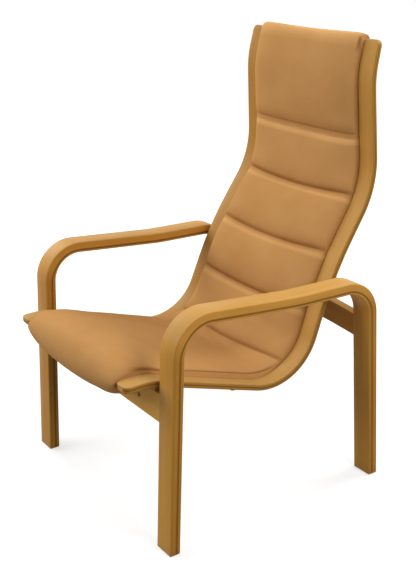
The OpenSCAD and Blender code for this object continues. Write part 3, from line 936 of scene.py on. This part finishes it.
@dataclass
class SideLoops:
    """The two bent loops that are legs and arms in one."""

    width: float = 0.620
    strip_width: float = 0.054
    thickness: float = 0.026
    depth: float = 0.604
    front_corner: float = 0.546
    dip: tuple[float, float] = (0.344, 0.520)
    rear_corner: float = 0.516
    front_lean: float = 2.3
    rear_lean: float = 4.0
    radii: Triple = (0.090, 0.500, 0.092)
    edge: float = 0.003
    glide: float = 0.002
    foot_edge: float = 0.001
    spare: float = 0.020
    twin_grain: Triple = (0.7, 2.3, 0)

    def path(self) -> Path:
        """Lay out the loop.

        Returns:
            Its face line, from under the front foot to under the rear one.
        """
        front = self.front_corner * math.tan(radians(self.front_lean))
        rear = self.depth - self.rear_corner * math.tan(radians(self.rear_lean))
        corners = [
            Vector((0.0, 0.0)),
            Vector((front, self.front_corner)),
            Vector(self.dip),
            Vector((rear, self.rear_corner)),
            Vector((self.depth, 0.0)),
        ]
        sides = [b - a for a, b in zip(corners, corners[1:])]
        headings = [math.atan2(side.y, side.x) for side in sides]
        turns = [b - a for a, b in zip(headings, headings[1:])]
        cuts = [r * math.tan(abs(t) / 2) for r, t in zip(self.radii, turns)]
        befores, afters = [-self.spare, *cuts], [*cuts, -self.spare]
        runs = [side.length - a - b for side, a, b in zip(sides, befores, afters)]
        steps = [Step(*bend) for bend in zip(runs, turns, self.radii)]
        start = State(0.0, 0.0, headings[0]).moved(-self.spare)
        return Path(start, (*steps, Step(runs[-1])))

    def build(self, finish: Material) -> None:
        """Build both loops.

        Args:
            finish: The laminated wood.
        """
        left = Strip(self.path(), self.strip_width, self.thickness, self.edge).build()
        cut = bmesh.ops.bisect_plane(
            left,
            geom=left.verts[:] + left.edges[:] + left.faces[:],
            plane_co=(0, 0, self.glide),
            plane_no=(0, 0, 1),
            clear_inner=True,
        )["geom_cut"]
        rims = [g for g in cut if isinstance(g, BMEdge)]
        bmesh.ops.holes_fill(left, edges=rims, sides=0)
        rims = [e for e in left.edges if all(abs(v.co.z - self.glide) < 1e-6 for v in e.verts)]
        bmesh.ops.bevel(
            left,
            geom=rims,
            offset=self.foot_edge,
            segments=2,
            profile=0.5,
            affect="EDGES",
            material=-1,
        )
        outward = (self.width / 2 - self.strip_width / 2, 0, 0)
        bmesh.ops.translate(left, vec=outward, verts=left.verts)
        Maker.pair(left, "side_loop", finish, self.twin_grain)


@dataclass
class SeatRails:
    """The two S-curved rails that carry the seat and back, with places along them."""

    width: float = 0.046
    thickness: float = 0.014
    outer_x: float = 0.247
    tilt: float = 2.1
    tip: tuple[float, float] = (-0.058, 0.389)
    rise: float = 2.0
    edge: float = 0.0025
    end_corner: float = 0.014
    end_nose: float = 0.003
    twin_grain: Triple = (1.1, 3.7, 0)
    front_bar: float = 0.034
    bar_width: float = 0.026
    top_bar_end: float = 0.006
    gap: float = 0.0003

    def path(self) -> Path:
        """Lay out the rails.

        Returns:
            Their face line, from the front tip to the top.
        """
        steps = (
            Step(0.032, radians(-19.5), 0.180),
            Step(0.255, radians(86.0), 0.128),
            Step(0.061, radians(-12.5), 0.830),
            Step(0.062, radians(37.5), 0.204),
            Step(0.144, radians(-17.0), 0.232),
            Step(0.046),
        )
        return Path(State(*self.tip, radians(self.rise)), steps)

    def inner_x(self, z: float) -> float:
        """Find the distance from the middle to a rail's inner side.

        Args:
            z: The height.

        Returns:
            The distance in metres.
        """
        tilt = radians(self.tilt)
        low = z - self.tip[1] + self.width / 2 * math.sin(tilt)
        return self.outer_x - self.width * math.cos(tilt) - low * math.tan(tilt)

    def place(self) -> Matrix:
        """Work out where the left rail stands.

        Returns:
            The move that tilts a strip and puts it on the left.
        """
        tilt = radians(self.tilt)
        lift = self.tip[1] + self.width / 2 * math.sin(tilt)
        return (
            Matrix.Translation((self.outer_x, 0, lift))
            @ Matrix.Rotation(-tilt, 4, "Y")
            @ Matrix.Translation((-self.width / 2, 0, -self.tip[1]))
        )

    def build(self, finish: Material) -> None:
        """Build both rails.

        Args:
            finish: The laminated wood.
        """
        strip = Strip(
            self.path(), self.width, self.thickness, self.edge, self.end_corner, self.end_nose
        )
        left = strip.build()
        bmesh.ops.transform(left, matrix=self.place(), verts=left.verts)
        Maker.pair(left, "seat_rail", finish, self.twin_grain)


# Upholstery

# The CAD's panels, which the leather cover stands for.
PANELS = (
    "seat_panel",
    "hip_panel",
    "lumbar_panel",
    "middle_panel",
    "shoulder_panel",
    "headrest_panel",
)
Cells = dict[BMVert, tuple[int, int]]


@dataclass(frozen=True)
class Seam:
    """A sewn channel across the pad: a deep line and a flat strip just before it.

    Attributes:
        at: Its distance along the rails.
        sag: How far its middle hangs towards the front.
        strip: The width of the flat strip.
        line: How much painted shade darkens the deep line.
        lift: How much painted highlight lightens the ridge before the strip.
    """

    at: float
    sag: float
    strip: float
    line: float = 0.55
    lift: float = 0.6

    @property
    def foot(self) -> float:
        """Distance along the rails where the flat strip starts."""
        return self.at - self.strip


@dataclass
class LeatherCover:
    """The channelled leather pad between the rails, as one taut cover.

    Places along it are distances t: below nose they go round the front roll, from nose
    to crest they are distances along the rails, and beyond crest they go round the top.
    """

    rails: SeatRails
    seams: tuple[Seam, ...] = (
        Seam(0.455, 0.023, 0.011, 0.5, 0.0),
        Seam(0.5975, 0.009, 0.010),
        Seam(0.7345, 0.012, 0.010),
        Seam(0.879, 0.013, 0.013, 0.65, 0.65),
        Seam(1.0225, 0.002, 0.014, 0.2, 0.9),
    )
    seat_crown: float = 0.030
    back_crown: float = 0.030
    swell: float = 0.06
    channel: float = 0.018
    seat_edge: float = 0.0085
    back_edge: float = 0.0025
    welt: float = 0.0013
    below_seam: float = 0.045
    above_seam: float = 0.032
    roll_reach: float = 0.014
    roll_depth: float = 0.057
    roll_sag: float = 0.012
    top_reach: float = 0.010
    top_sag: float = 0.0045
    top_depth: float = 0.024
    front_arc: float = 0.105
    top_arc: float = 0.062
    roll_gap: float = 0.002
    top_gap: float = 0.006
    least_depth: float = 0.004
    sag_middle: float = -0.15
    sag_half: float = 0.75
    past_bars: float = 0.0015
    bar_gaps: tuple[float, float] = (0.0045, 0.003)
    leather: float = 0.0015
    seat_fade: tuple[float, float] = (0.40, 0.455)
    edge_fade: tuple[float, float] = (0.36, 0.455)
    edge_rise: tuple[float, float] = (0.03, 0.18)
    edge_least: float = 0.1
    gentle_start: tuple[float, float] = (0.05, 0.14)
    gentle_end: tuple[float, float] = (0.41, 0.50)
    sag_reach: float = 0.055
    held_at_seam: float = 0.8
    # Painted highlight on the seat's side walls.
    side_wall_highlight: float = 0.9
    # Painted shade on the pad's underside layer.
    underside_shade: float = 0.1
    columns: int = 40
    walls: tuple[float, ...] = (0.06, 0.2, 0.4)
    groove: float = 0.986
    row_step: float = 0.0105
    seam_rows: tuple[float, ...] = (0.0, 0.0011, 0.0030, 0.0055, 0.0090, 0.0140, 0.0210)
    roll_rows: tuple[int, int] = (20, 12)
    cloth_pitch: float = 0.008
    cloth_roll_rows: tuple[int, int] = (14, 9)
    cloth_fullness: float = 0.94
    cloth_frames: int = 20
    most_move: float = 0.006
    cloth_settings: tuple[tuple[str, float], ...] = (
        ("quality", 8),
        ("mass", 0.3),
        ("tension_stiffness", 60),
        ("compression_stiffness", 60),
        ("shear_stiffness", 30),
        ("bending_stiffness", 8),
        ("use_pressure", True),
        ("uniform_pressure_force", 4.0),
    )

    def __post_init__(self) -> None:
        """Work out the places along the cover and across it."""
        self.line = self.rails.path()
        self.nose = self.rails.front_bar - self.past_bars
        self.crest = self.line.length - self.rails.top_bar_end + self.past_bars
        self.start = self.nose - self.front_arc
        self.end = self.crest + self.top_arc
        inside = [self.across(2 * j / self.columns - 1) for j in range(1, self.columns)]
        self.spots = [-1.0, -self.groove, *inside, self.groove, 1.0]

    @staticmethod
    def even(a: float, b: float, parts: int) -> list[float]:
        """Return evenly spaced numbers with both ends."""
        return [a + (b - a) * k / parts for k in range(parts + 1)]

    @staticmethod
    def across(share: float) -> float:
        """Return the place across the pad, -1 to 1, of a share of its columns."""
        return 0.7 * share + 0.3 * math.sin(share * math.pi / 2)

    @staticmethod
    def boxy(v: float, power: float) -> float:
        """Return 1 in the middle of the pad and 0 at its sides, squarer at high powers."""
        return math.sqrt(max(0.0, 1 - abs(v) ** power))

    def fullness(self, t: float, v: float) -> float:
        """Find how much of its height the pad has, which is less at the seat's sides.

        Args:
            t: Place along the cover.
            v: Place across the pad.

        Returns:
            The share, from 0 to 1.
        """
        full = self.boxy(v, 8)
        gentle = max(0.0, 1 - abs(v) ** 3.4) ** 0.8 if v > 0 else self.boxy(v, 5.5)
        seat = self.eased(*self.gentle_start, t) - self.eased(*self.gentle_end, t)
        return full + (gentle - full) * seat

    @staticmethod
    def eased(low: float, high: float, value: float) -> float:
        """Return 0 below low, 1 above high and a smooth step between."""
        share = min(1.0, max(0.0, (value - low) / (high - low)))
        return share * share * (3 - 2 * share)

    @classmethod
    def near(cls, away: float, full: float, none: float) -> float:
        """Return 1 up to one distance either way, 0 beyond another and less between."""
        return 1 - cls.eased(full, none, abs(away))

    def dip(self, t: float) -> float:
        """Find how far the leather is pulled down into a channel.

        Args:
            t: Place along the cover.

        Returns:
            The share of the way down, from 0 to 1.
        """
        most = 0.0
        for seam in self.seams:
            away = t - seam.at
            if away >= 0:
                down = self.shoulder(away / self.above_seam)
            elif -away <= seam.strip:
                down = 1 + 0.2 * away / seam.strip
            else:
                down = 0.8 * self.shoulder((-away - seam.strip) / self.below_seam)
            most = max(most, down)
        return most

    @staticmethod
    def shoulder(share: float) -> float:
        """Return how far down a pillow's rounded edge is, from 1 at the seam to 0."""
        back = 1 - min(1.0, share)
        return 1 - math.sqrt(1 - back**1.7)

    def crown(self, t: float) -> float:
        """Find the height of the pad's middle, which swells between the channels.

        Args:
            t: Place along the cover.

        Returns:
            The height in metres.
        """
        marks = [seam.at for seam in self.seams] + [self.crest]
        if t < marks[0]:
            return self.seat_crown
        swell = 0.0
        for a, b in zip(marks, marks[1:]):
            if a <= t <= b:
                swell = self.swell * math.sin(math.pi * (t - a) / (b - a))
        return self.back_crown * (1 - self.swell + swell)

    def height(self, t: float, v: float, puff: float) -> float:
        """Return the leather's height above the rails.

        Args:
            t: Place along the cover.
            v: Place across the pad.
            puff: Share of the crown that is there.

        Returns:
            The height in metres.
        """
        crown = self.crown(t)
        full = crown * puff - (crown - self.channel) * self.dip(t)
        seat = 1 - self.eased(*self.edge_fade, t)
        risen = self.eased(*self.edge_rise, t - self.nose)
        rise = self.edge_least + (1 - self.edge_least) * risen
        edge = self.back_edge + (self.seat_edge - self.back_edge) * seat * rise
        sewn = self.near(abs(v) - self.groove, 0.0, 1 - self.groove)
        return edge + self.fullness(t, v) * (full - edge) - self.welt * seat * sewn

    def shift(self, t: float, v: float) -> float:
        """Return how far a place is carried along by the sagging channels."""
        sags = (s.sag * self.near(t - s.at, 0.0, self.sag_reach) for s in self.seams)
        return -(1 - v * v) * sum(sags)

    def point(self, s: float, h: float, v: float) -> Vector:
        """Return the place in the chair of a point above the rails' face line."""
        y, z = self.line.at(s).off(h)
        return Vector((v * (self.rails.inner_x(z) - self.rails.gap), y - MID_DEPTH, z))

    def low(self, v: float, front: bool) -> float:
        """Find how far below the rails' faces a roll reaches.

        Args:
            v: Place across the pad.
            front: Whether it is the front roll and not the top one.

        Returns:
            The depth in metres.
        """
        deep = self.roll_depth if front else self.top_depth
        shallow = self.rails.thickness + self.least_depth
        depth = shallow + (deep - shallow) * self.boxy(v, 5 if front else 14)
        if front:
            aside = (v - self.sag_middle) / self.sag_half
            depth += self.roll_sag * max(0.0, 1 - aside**2)
        return depth

    def rolled(self, t: float) -> float:
        """Return how far round a roll a place is, from 0 at the rails' faces to 1."""
        return max((self.nose - t) / self.front_arc, (t - self.crest) / self.top_arc)

    def outer(self, t: float, v: float, puff: float) -> Vector:
        """Return the leather's place.

        Args:
            t: Place along the cover.
            v: Place across the pad.
            puff: Share of the fullness that is there.

        Returns:
            The place in the chair.
        """
        if self.nose <= t <= self.crest:
            return self.point(t + self.shift(t, v), self.height(t, v, puff), v)
        front = t < self.nose
        s = self.nose if front else self.crest
        if front:
            least, reach = self.nose + self.roll_gap, self.nose + self.roll_reach
        else:
            bar_end = self.rails.top_bar_end
            least = bar_end + self.top_gap
            reach = bar_end + self.top_reach - self.top_sag * (1 - v * v)
        out = least + (reach - least) * self.boxy(v, 8 if front else 14)
        top, low = self.height(s, v, puff), self.low(v, front)
        mid, half = (top - low) / 2, (top + low) / 2
        a = math.pi * self.rolled(t)
        way = -1 if front else 1
        return self.point(s + way * out * math.sin(a), mid + half * math.cos(a), v)

    def inner(self, t: float, v: float) -> Vector:
        """Return the place of the pad's underside.

        Args:
            t: Place along the cover.
            v: Place across the pad.

        Returns:
            The place in the chair.
        """
        over = 0.0004
        if self.nose <= t <= self.crest:
            rails = self.rails
            top_bar = self.line.length - rails.top_bar_end - rails.bar_width
            front_bar = self.nose + rails.bar_width
            free = front_bar + self.bar_gaps[0] <= t <= top_bar - self.bar_gaps[1]
            depth = rails.thickness - rails.gap if free else -over
            return self.point(t + self.shift(t, v), -depth, v)
        front = t < self.nose
        part = (1 - math.cos(math.pi * self.rolled(t))) / 2
        s = self.nose + 0.001 if front else self.crest - 0.001
        return self.point(s, over - (over + self.low(v, front) - self.leather) * part, v)

    def sewn_lines(self) -> list[float]:
        """Return the two sewn lines of each seam."""
        return [line for seam in self.seams for line in (seam.foot, seam.at)]

    def cloth_rows(self) -> list[float]:
        """Space the rows of the cloth, one of which is on each sewn line.

        Returns:
            Their places along the cover.
        """
        rows = self.even(self.start, self.nose, self.cloth_roll_rows[0])[:-1]
        marks = [self.nose, *self.sewn_lines(), self.crest]
        for a, b in zip(marks, marks[1:]):
            rows += self.even(a, b, math.ceil((b - a) / self.cloth_pitch))[:-1]
        return rows + self.even(self.crest, self.end, self.cloth_roll_rows[1])

    def cover_rows(self) -> list[float]:
        """Space the rows of the cover, which are close at the seams.

        Returns:
            Their places along the cover.
        """
        rows = self.even(self.start, self.nose, self.roll_rows[0])[:-1]
        *near, far = self.seam_rows
        first = self.nose
        for seam in self.seams:
            last = seam.foot - far
            rows += self.even(first, last, round((last - first) / self.row_step))
            rows += [seam.foot - d for d in reversed(near)]
            rows += [seam.foot + 0.0014, seam.at - seam.strip / 2, seam.at - 0.0012]
            rows += [seam.at + d for d in near]
            first = seam.at + far
        rows += self.even(first, self.crest, round((self.crest - first) / self.row_step))[:-1]
        return rows + self.even(self.crest, self.end, self.roll_rows[1])

    @staticmethod
    def grid(bm: BMesh, rows: int, columns: int) -> Cells:
        """Make a grid.

        Args:
            bm: The bmesh that it goes into.
            rows: Number of faces along.
            columns: Number of faces across.

        Returns:
            The row and column of each vertex.
        """
        made = bmesh.ops.create_grid(bm, x_segments=columns, y_segments=rows, size=1.0)
        return {
            vert: (round((vert.co.y + 1) / 2 * rows), round((vert.co.x + 1) / 2 * columns))
            for vert in made["verts"]
        }

    def cloth(self, rows: Sequence[float]) -> tuple[Object, list[tuple[int, int]]]:
        """Make a sheet of cloth on the cover, pinned at the seams and the edges.

        Args:
            rows: The places of its rows.

        Returns:
            The cloth, and the row and column of each of its vertices.
        """
        wide = len(self.spots) - 1
        bm = bmesh.new()
        at = self.grid(bm, len(rows) - 1, wide)
        cells = [at[vert] for vert in bm.verts]
        for vert, (i, j) in at.items():
            vert.co = self.outer(rows[i], self.spots[j], self.cloth_fullness)
        self.face_outward(bm)
        mesh = bpy.data.meshes.new("cover_cloth")
        bm.to_mesh(mesh)
        bm.free()
        cloth = bpy.data.objects.new("cover_cloth", mesh)
        bpy.context.scene.collection.objects.link(cloth)
        pins = cloth.vertex_groups.new(name="pins")
        sewn = {self.start, self.end, *self.sewn_lines()}
        for index, (i, j) in enumerate(cells):
            if j in (0, 1, wide - 1, wide) or rows[i] in sewn:
                pins.add([index], 1.0, "REPLACE")
        settings = cloth.modifiers.new("cloth", "CLOTH").settings
        for name, value in self.cloth_settings:
            setattr(settings, name, value)
        settings.vertex_group_mass = pins.name
        settings.effector_weights.gravity = 0
        return cloth, cells

    def moves(self) -> Callable[[float, int], Vector]:
        """Pull the cover taut over its filling with cloth under pressure.

        Returns:
            A function that gives the cloth's move at a place along and a column.
        """
        rows = self.cloth_rows()
        cloth, cells = self.cloth(rows)
        start = [vert.co.copy() for vert in cloth.data.vertices]
        for frame_number in range(1, self.cloth_frames + 1):
            bpy.context.scene.frame_set(frame_number)
        graph = bpy.context.evaluated_depsgraph_get()
        moved = cloth.evaluated_get(graph).to_mesh()
        grid = [[Vector() for _ in self.spots] for _ in rows]
        reach = 0.0
        for vert, place, (i, j) in zip(moved.vertices, start, cells):
            move = vert.co - place
            reach = max(reach, move.length)
            if move.length > self.most_move:
                move *= self.most_move / move.length
            grid[i][j] = move
        LOG.info("leather moved up to %.1f mm", reach * 1000)
        bpy.data.objects.remove(cloth)
        bpy.context.scene.frame_set(1)

        def move_at(t: float, j: int) -> Vector:
            """Find the move at a place between two rows of the cloth.

            Args:
                t: Place along the cover.
                j: Number of the column.

            Returns:
                The move in metres.
            """
            k = min(bisect_right(rows, t), len(rows) - 1) - 1
            share = min(1.0, (t - rows[k]) / (rows[k + 1] - rows[k]))
            return grid[k][j].lerp(grid[k + 1][j], share)

        return move_at

    @staticmethod
    def face_outward(bm: BMesh) -> None:
        """Turn an open sheet's faces so that the seat's look up.

        Args:
            bm: The sheet.
        """
        bmesh.ops.recalc_face_normals(bm, faces=bm.faces)
        on_seat = Vector((0, -0.15, 0.42))
        seat = min(bm.faces, key=lambda f: (f.calc_center_median() - on_seat).length)
        if seat.normal.z < 0:
            bmesh.ops.reverse_faces(bm, faces=bm.faces)

    def crease(self, t: float, v: float) -> float:
        """Find the painted shade and painted highlight of the leather at a place.

        Args:
            t: Place along the cover.
            v: Place across the pad.

        Returns:
            Up to 1 where painted shade darkens the leather in seams, folds and along the rails,
            and below 0 where painted highlight lightens the ridges and the top roll.
        """
        seat = self.eased(self.nose, self.nose + 0.03, t) - self.eased(*self.seat_fade, t)
        # Painted shade in the welt's groove on the seat and at the pad's sides elsewhere.
        groove = self.near(abs(v) - self.groove, 0.002, 0.012)
        edge = 0.5 * self.near(1 - abs(v), 0.0, 0.020)
        side = edge + (groove - edge) * seat
        if t < self.nose:
            return side
        # Painted shade where the top folds at the pad's sides, and painted highlight over the
        # top roll.
        fold = self.near(t - self.crest + 0.006, 0.004, 0.030)
        side = max(side, 0.95 * fold * groove)
        ridge = 0.9 * self.near(t - self.crest - 0.008, 0.006, 0.030)
        if t > self.crest:
            return side - ridge * (1 - side)
        sewn = 0.0
        for seam in self.seams:
            away = t - seam.at
            # Painted shade on the deep line, in a soft band above it and on the flat strip;
            # painted highlight on the ridge before the strip.
            main = seam.line * self.near(away - 0.003, 0.001, 0.010)
            under = 0.22 * self.near(away, 0.0, 0.032) if away > 0 else 0.0
            strip = 0.16 * seam.lift if -seam.strip <= away <= 0 else 0.0
            sewn = max(sewn, main, under, strip)
            light = self.near(away + seam.strip + 0.005, 0.001, 0.010)
            ridge = max(ridge, light * seam.lift)
        return max(sewn, side) - ridge * (1 - side)

    def pucker(self, t: float) -> float:
        """Return how near a seam a place is, from 0 to 1."""
        return max(self.near(t - seam.at, 0.0, 0.030) for seam in self.seams)

    def build(self, finish: Material, names: Sequence[str]) -> None:
        """Build the cover.

        Args:
            finish: The leather.
            names: The CAD nodes that the cover stands for.
        """
        move = self.moves()
        rows = self.cover_rows()
        sides, last = len(self.walls), len(self.spots) - 1
        bm = bmesh.new()
        layers = bm.verts.layers.float
        crease, pucker = layers.new(SHADE_AND_HIGHLIGHT), layers.new(PUCKER)
        cells = self.grid(bm, len(rows) - 1, last + 2 * sides)
        copied = bmesh.ops.duplicate(bm, geom=bm.verts[:] + bm.edges[:] + bm.faces[:])
        twins = copied["vert_map"]
        shares = [*reversed(self.walls), *(0.0 for _ in self.spots), *self.walls]
        for vert, (i, column) in cells.items():
            t, share = rows[i], shares[column]
            j = min(max(column - sides, 0), last)
            v = self.spots[j]
            free = 1 - self.dip(t) * self.held_at_seam
            over, under = self.outer(t, v, 1.0) + move(t, j) * free, self.inner(t, v)
            vert.co = over.lerp(under, share)
            twins[vert].co = under.lerp(over, share)
            # Painted highlight lightens the seat's side walls.
            wear_and_highlight = self.side_wall_highlight * share * (1 - self.eased(*self.seat_fade, t))
            vert[crease] = self.crease(t, v) - wear_and_highlight
            vert[pucker] = self.pucker(t)
            # Painted shade on the underside layer.
            twins[vert][crease] = self.underside_shade
        rim = [edge for edge in bm.edges if len(edge.link_faces) == 1]
        bmesh.ops.bridge_loops(bm, edges=rim)
        piece = Maker.finish(bm, "leather_cover", finish, "leather", names, sharp=75)
        soft = piece.modifiers.new("soft", "SUBSURF")
        soft.levels = soft.render_levels = 1


# Cloth at the back


@dataclass
class BackCloth:
    """The lining on the back and the webbing under it."""

    rails: SeatRails
    lap: float = 0.012
    strap_lap: float = 0.010
    strap_width: float = 0.050
    strap_step: float = 0.080
    strap_thickness: float = 0.002
    strap_room: float = 0.016
    lining_thickness: float = 0.0015
    lining_inset: float = 0.004
    lining_flat_width: float = 0.416

    def depths(self) -> tuple[float, float]:
        """Find how far behind the rails' faces the sheets lie.

        Returns:
            The depths of the straps and of the lining.
        """
        lean = self.rails.width / 2 * math.sin(radians(self.rails.tilt))
        strap = self.rails.thickness + lean + self.rails.gap
        return strap, strap + self.strap_thickness + self.rails.gap

    def sheet(
        self, start: float, end: float, depth: float, lap: float, columns: int, rows: int
    ) -> BMesh:
        """Make a sheet that follows the rails' backs.

        Args:
            start: Distance along the rails where it starts.
            end: Distance where it ends.
            depth: How far behind the rails' faces it lies.
            lap: How far it reaches over the rails.
            columns: Number of faces across.
            rows: Number of faces along.

        Returns:
            The sheet, with its weave's coordinates.
        """
        bm = bmesh.new()
        grain = bm.verts.layers.float_vector.new(GRAIN)
        made = bmesh.ops.create_grid(bm, x_segments=columns, y_segments=rows, size=1.0)
        line = self.rails.path()
        for vert in made["verts"]:
            v, s = vert.co.x, start + (end - start) * (vert.co.y + 1) / 2
            y, z = line.at(s).off(-depth)
            wide = self.rails.inner_x(z) + lap
            vert[grain] = (v * wide, s, 0)
            vert.co = (v * wide, y - MID_DEPTH, z)
        return bm

    def build(self, lining: Material, webbing: Material) -> None:
        """Build the lining and the straps.

        Args:
            lining: The lining's cloth.
            webbing: The straps' webbing.
        """
        rails = self.rails
        strap_depth, lining_depth = self.depths()
        top = rails.path().length - rails.top_bar_end
        first = rails.front_bar + rails.bar_width + self.strap_room
        room = top - rails.bar_width - self.strap_room - first - self.strap_width
        count = math.floor(room / self.strap_step) + 1
        straps = bmesh.new()
        straps.verts.layers.float_vector.new(GRAIN)
        mesh = bpy.data.meshes.new("strap")
        for k in range(count):
            s = first + k * room / (count - 1)
            one = self.sheet(s, s + self.strap_width, strap_depth, self.strap_lap, 12, 8)
            one.to_mesh(mesh)
            one.free()
            straps.from_mesh(mesh)
        bpy.data.meshes.remove(mesh)
        piece = Maker.finish(
            straps, "webbing_straps_woven", webbing, "webbing", ["webbing_straps"], recalc=False
        )
        self.thicken(piece, self.strap_thickness)
        start, end = rails.front_bar + self.lining_inset, top - self.lining_inset
        back = self.sheet(start, end, lining_depth, self.lap, 24, 150)
        piece = Maker.finish(
            back, "back_lining_cloth", lining, "lining", ["back_lining"], recalc=False
        )
        self.thicken(piece, self.lining_thickness)

    @staticmethod
    def thicken(piece: Object, thickness: float) -> None:
        """Give a sheet its thickness, away from the rails.

        Args:
            piece: The sheet.
            thickness: The thickness in metres.
        """
        wall = piece.modifiers.new("wall", "SOLIDIFY")
        wall.thickness = thickness
        wall.offset = -1.0


# Carried-over pieces


@dataclass
class CarriedPieces:
    """CAD nodes that stay and get their own finish."""

    materials: Materials

    def dress(self) -> None:
        """Give each node its material."""
        groups = {
            Surface.BOARD: ("rear_stretcher", "support_rail"),
            # The front stretcher takes the lighter painted-light copy of the board wood.
            Surface.APRON: ("front_stretcher",),
            Surface.HIDDEN: (
                "front_bar",
                "top_bar",
                "left_packing",
                "right_packing",
                "dowels",
                "pegs",
                "locating_pins",
            ),
            Surface.STEEL: ("tie_bolts", "barrel_nuts", "support_screws"),
            Surface.NYLON: ("foot_glides",),
        }
        for surface, names in groups.items():
            material = self.materials[surface]
            for name in names:
                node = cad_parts[name]
                node.data.materials.clear()
                node.data.materials.append(material)
                LOG.info("%s: %s", name, material.name)


# Studio


@dataclass(frozen=True)
class Lamp:
    """A square soft lamp: its power is in watts and its size is the length of a side."""

    name: str
    at: Triple
    power: float
    size: float


@dataclass(frozen=True)
class Studio:
    """The floor, the light and the camera."""

    camera_at: Triple = (1.8113, -0.9451 - MID_DEPTH, 1.2692)
    yaw: float = 54.87
    down: float = 19.97
    roll: float = -0.18
    focal_pixels: float = 985.65
    centre: tuple[float, float] = (212.2, 282.2)
    image: tuple[int, int] = (416, 571)
    ambient: float = 0.09
    aim: Triple = (0.0, 0.0, 0.45)
    lamps: tuple[Lamp, ...] = (
        Lamp("overhead", (0.0, -0.1, 2.6), 13.0, 2.2),
        Lamp("front_left", (-1.8, -2.2, 1.75), 61.0, 2.2),
        Lamp("right", (2.8, 0.3, 2.0), 56.0, 1.6),
        Lamp("behind", (0.4, 2.2, 2.4), 48.0, 1.6),
        Lamp("left", (-2.8, -0.5, 1.9), 42.0, 1.6),
    )

    def camera(self) -> None:
        """Place the camera at the photograph's viewpoint."""
        data = bpy.data.cameras.new("camera")
        data.sensor_width = 36.0
        tall = max(self.image)
        data.lens = self.focal_pixels * data.sensor_width / tall
        data.shift_x = -(self.centre[0] - self.image[0] / 2) / tall
        data.shift_y = (self.centre[1] - self.image[1] / 2) / tall
        data.clip_end = 100.0
        view = bpy.data.objects.new("camera", data)
        bpy.context.scene.collection.objects.link(view)
        turn = (
            Matrix.Rotation(radians(self.yaw), 4, "Z")
            @ Matrix.Rotation(radians(90 - self.down), 4, "X")
            @ Matrix.Rotation(radians(self.roll), 4, "Z")
        )
        view.matrix_world = Matrix.Translation(self.camera_at) @ turn
        bpy.context.scene.camera = view

    def seen(self, n: Nodes) -> bpy.types.NodeSocket:
        """Tell the rays that see the white background from those that light the chair.

        Args:
            n: The material's or the world's nodes.

        Returns:
            1 on camera, glossy and transmission rays, and 0 on others.
        """
        path = n.add("LightPath")
        seen = path.outputs["Is Camera Ray"]
        for kind in ("Is Glossy Ray", "Is Transmission Ray"):
            seen = n.math("ADD", seen, path.outputs[kind], clamp=True)
        return seen

    def floor(self) -> None:
        """Lay the pale floor, which glows where it is seen, and more away from the chair."""
        bm = bmesh.new()
        bmesh.ops.create_grid(bm, x_segments=2, y_segments=2, size=30.0)
        mesh = bpy.data.meshes.new("floor")
        bm.to_mesh(mesh)
        bm.free()
        material = bpy.data.materials.new("pale_floor")
        material.use_nodes = True
        n = Nodes(material.node_tree)
        seen = self.seen(n)
        away = n.feed(n.add("VectorMath", operation="LENGTH"), i0=n.place()).outputs["Value"]
        n.shade(
            Base_Color=n.mix(seen, (0.38, 0.38, 0.38), (0.5, 0.5, 0.5)),
            Roughness=0.9,
            Specular_IOR_Level=0.1,
            Emission_Color=(1, 1, 1),
            Emission_Strength=n.times(seen, n.ramp(away, 1.0, 3.0, 0.62, 1.0)),
        )
        mesh.materials.append(material)
        floor = bpy.data.objects.new("floor", mesh)
        bpy.context.scene.collection.objects.link(floor)

    def world(self) -> None:
        """Fill the studio with soft light; the camera sees white."""
        world = bpy.data.worlds.new("studio")
        world.use_nodes = True
        bpy.context.scene.world = world
        n = Nodes(world.node_tree)
        background = world.node_tree.nodes["Background"]
        strength = n.ramp(self.seen(n), 0.0, 1.0, self.ambient, 1.0)
        n.feed(background, Color=(1, 1, 1), Strength=strength)

    def hang(self, lamp: Lamp) -> None:
        """Hang a lamp so that it faces the chair.

        Args:
            lamp: The lamp.
        """
        data = bpy.data.lights.new(lamp.name, "AREA")
        data.shape = "SQUARE"
        data.size = lamp.size
        data.energy = lamp.power
        light = bpy.data.objects.new(lamp.name, data)
        bpy.context.scene.collection.objects.link(light)
        turn = (Vector(self.aim) - Vector(lamp.at)).to_track_quat("-Z", "Y")
        light.matrix_world = Matrix.Translation(lamp.at) @ turn.to_matrix().to_4x4()

    def build(self) -> None:
        """Set up the whole studio."""
        bpy.context.scene.view_settings.view_transform = "Standard"
        self.camera()
        self.floor()
        self.world()
        for lamp in self.lamps:
            self.hang(lamp)


def main() -> None:
    """Build the studio and the chair."""
    logging.basicConfig(level=logging.INFO, format="%(name)s: %(message)s")
    Studio().build()
    effects = Effects()
    materials = {surface: surface.value.build(effects) for surface in Surface}
    SideLoops().build(materials[Surface.LOOP])
    rails = SeatRails()
    rails.build(materials[Surface.RAIL])
    LeatherCover(rails).build(materials[Surface.LEATHER], PANELS)
    BackCloth(rails).build(materials[Surface.LINING], materials[Surface.WEBBING])
    CarriedPieces(materials).dress()
    bpy.context.view_layer.update()


if __name__ == "__main__":
    main()
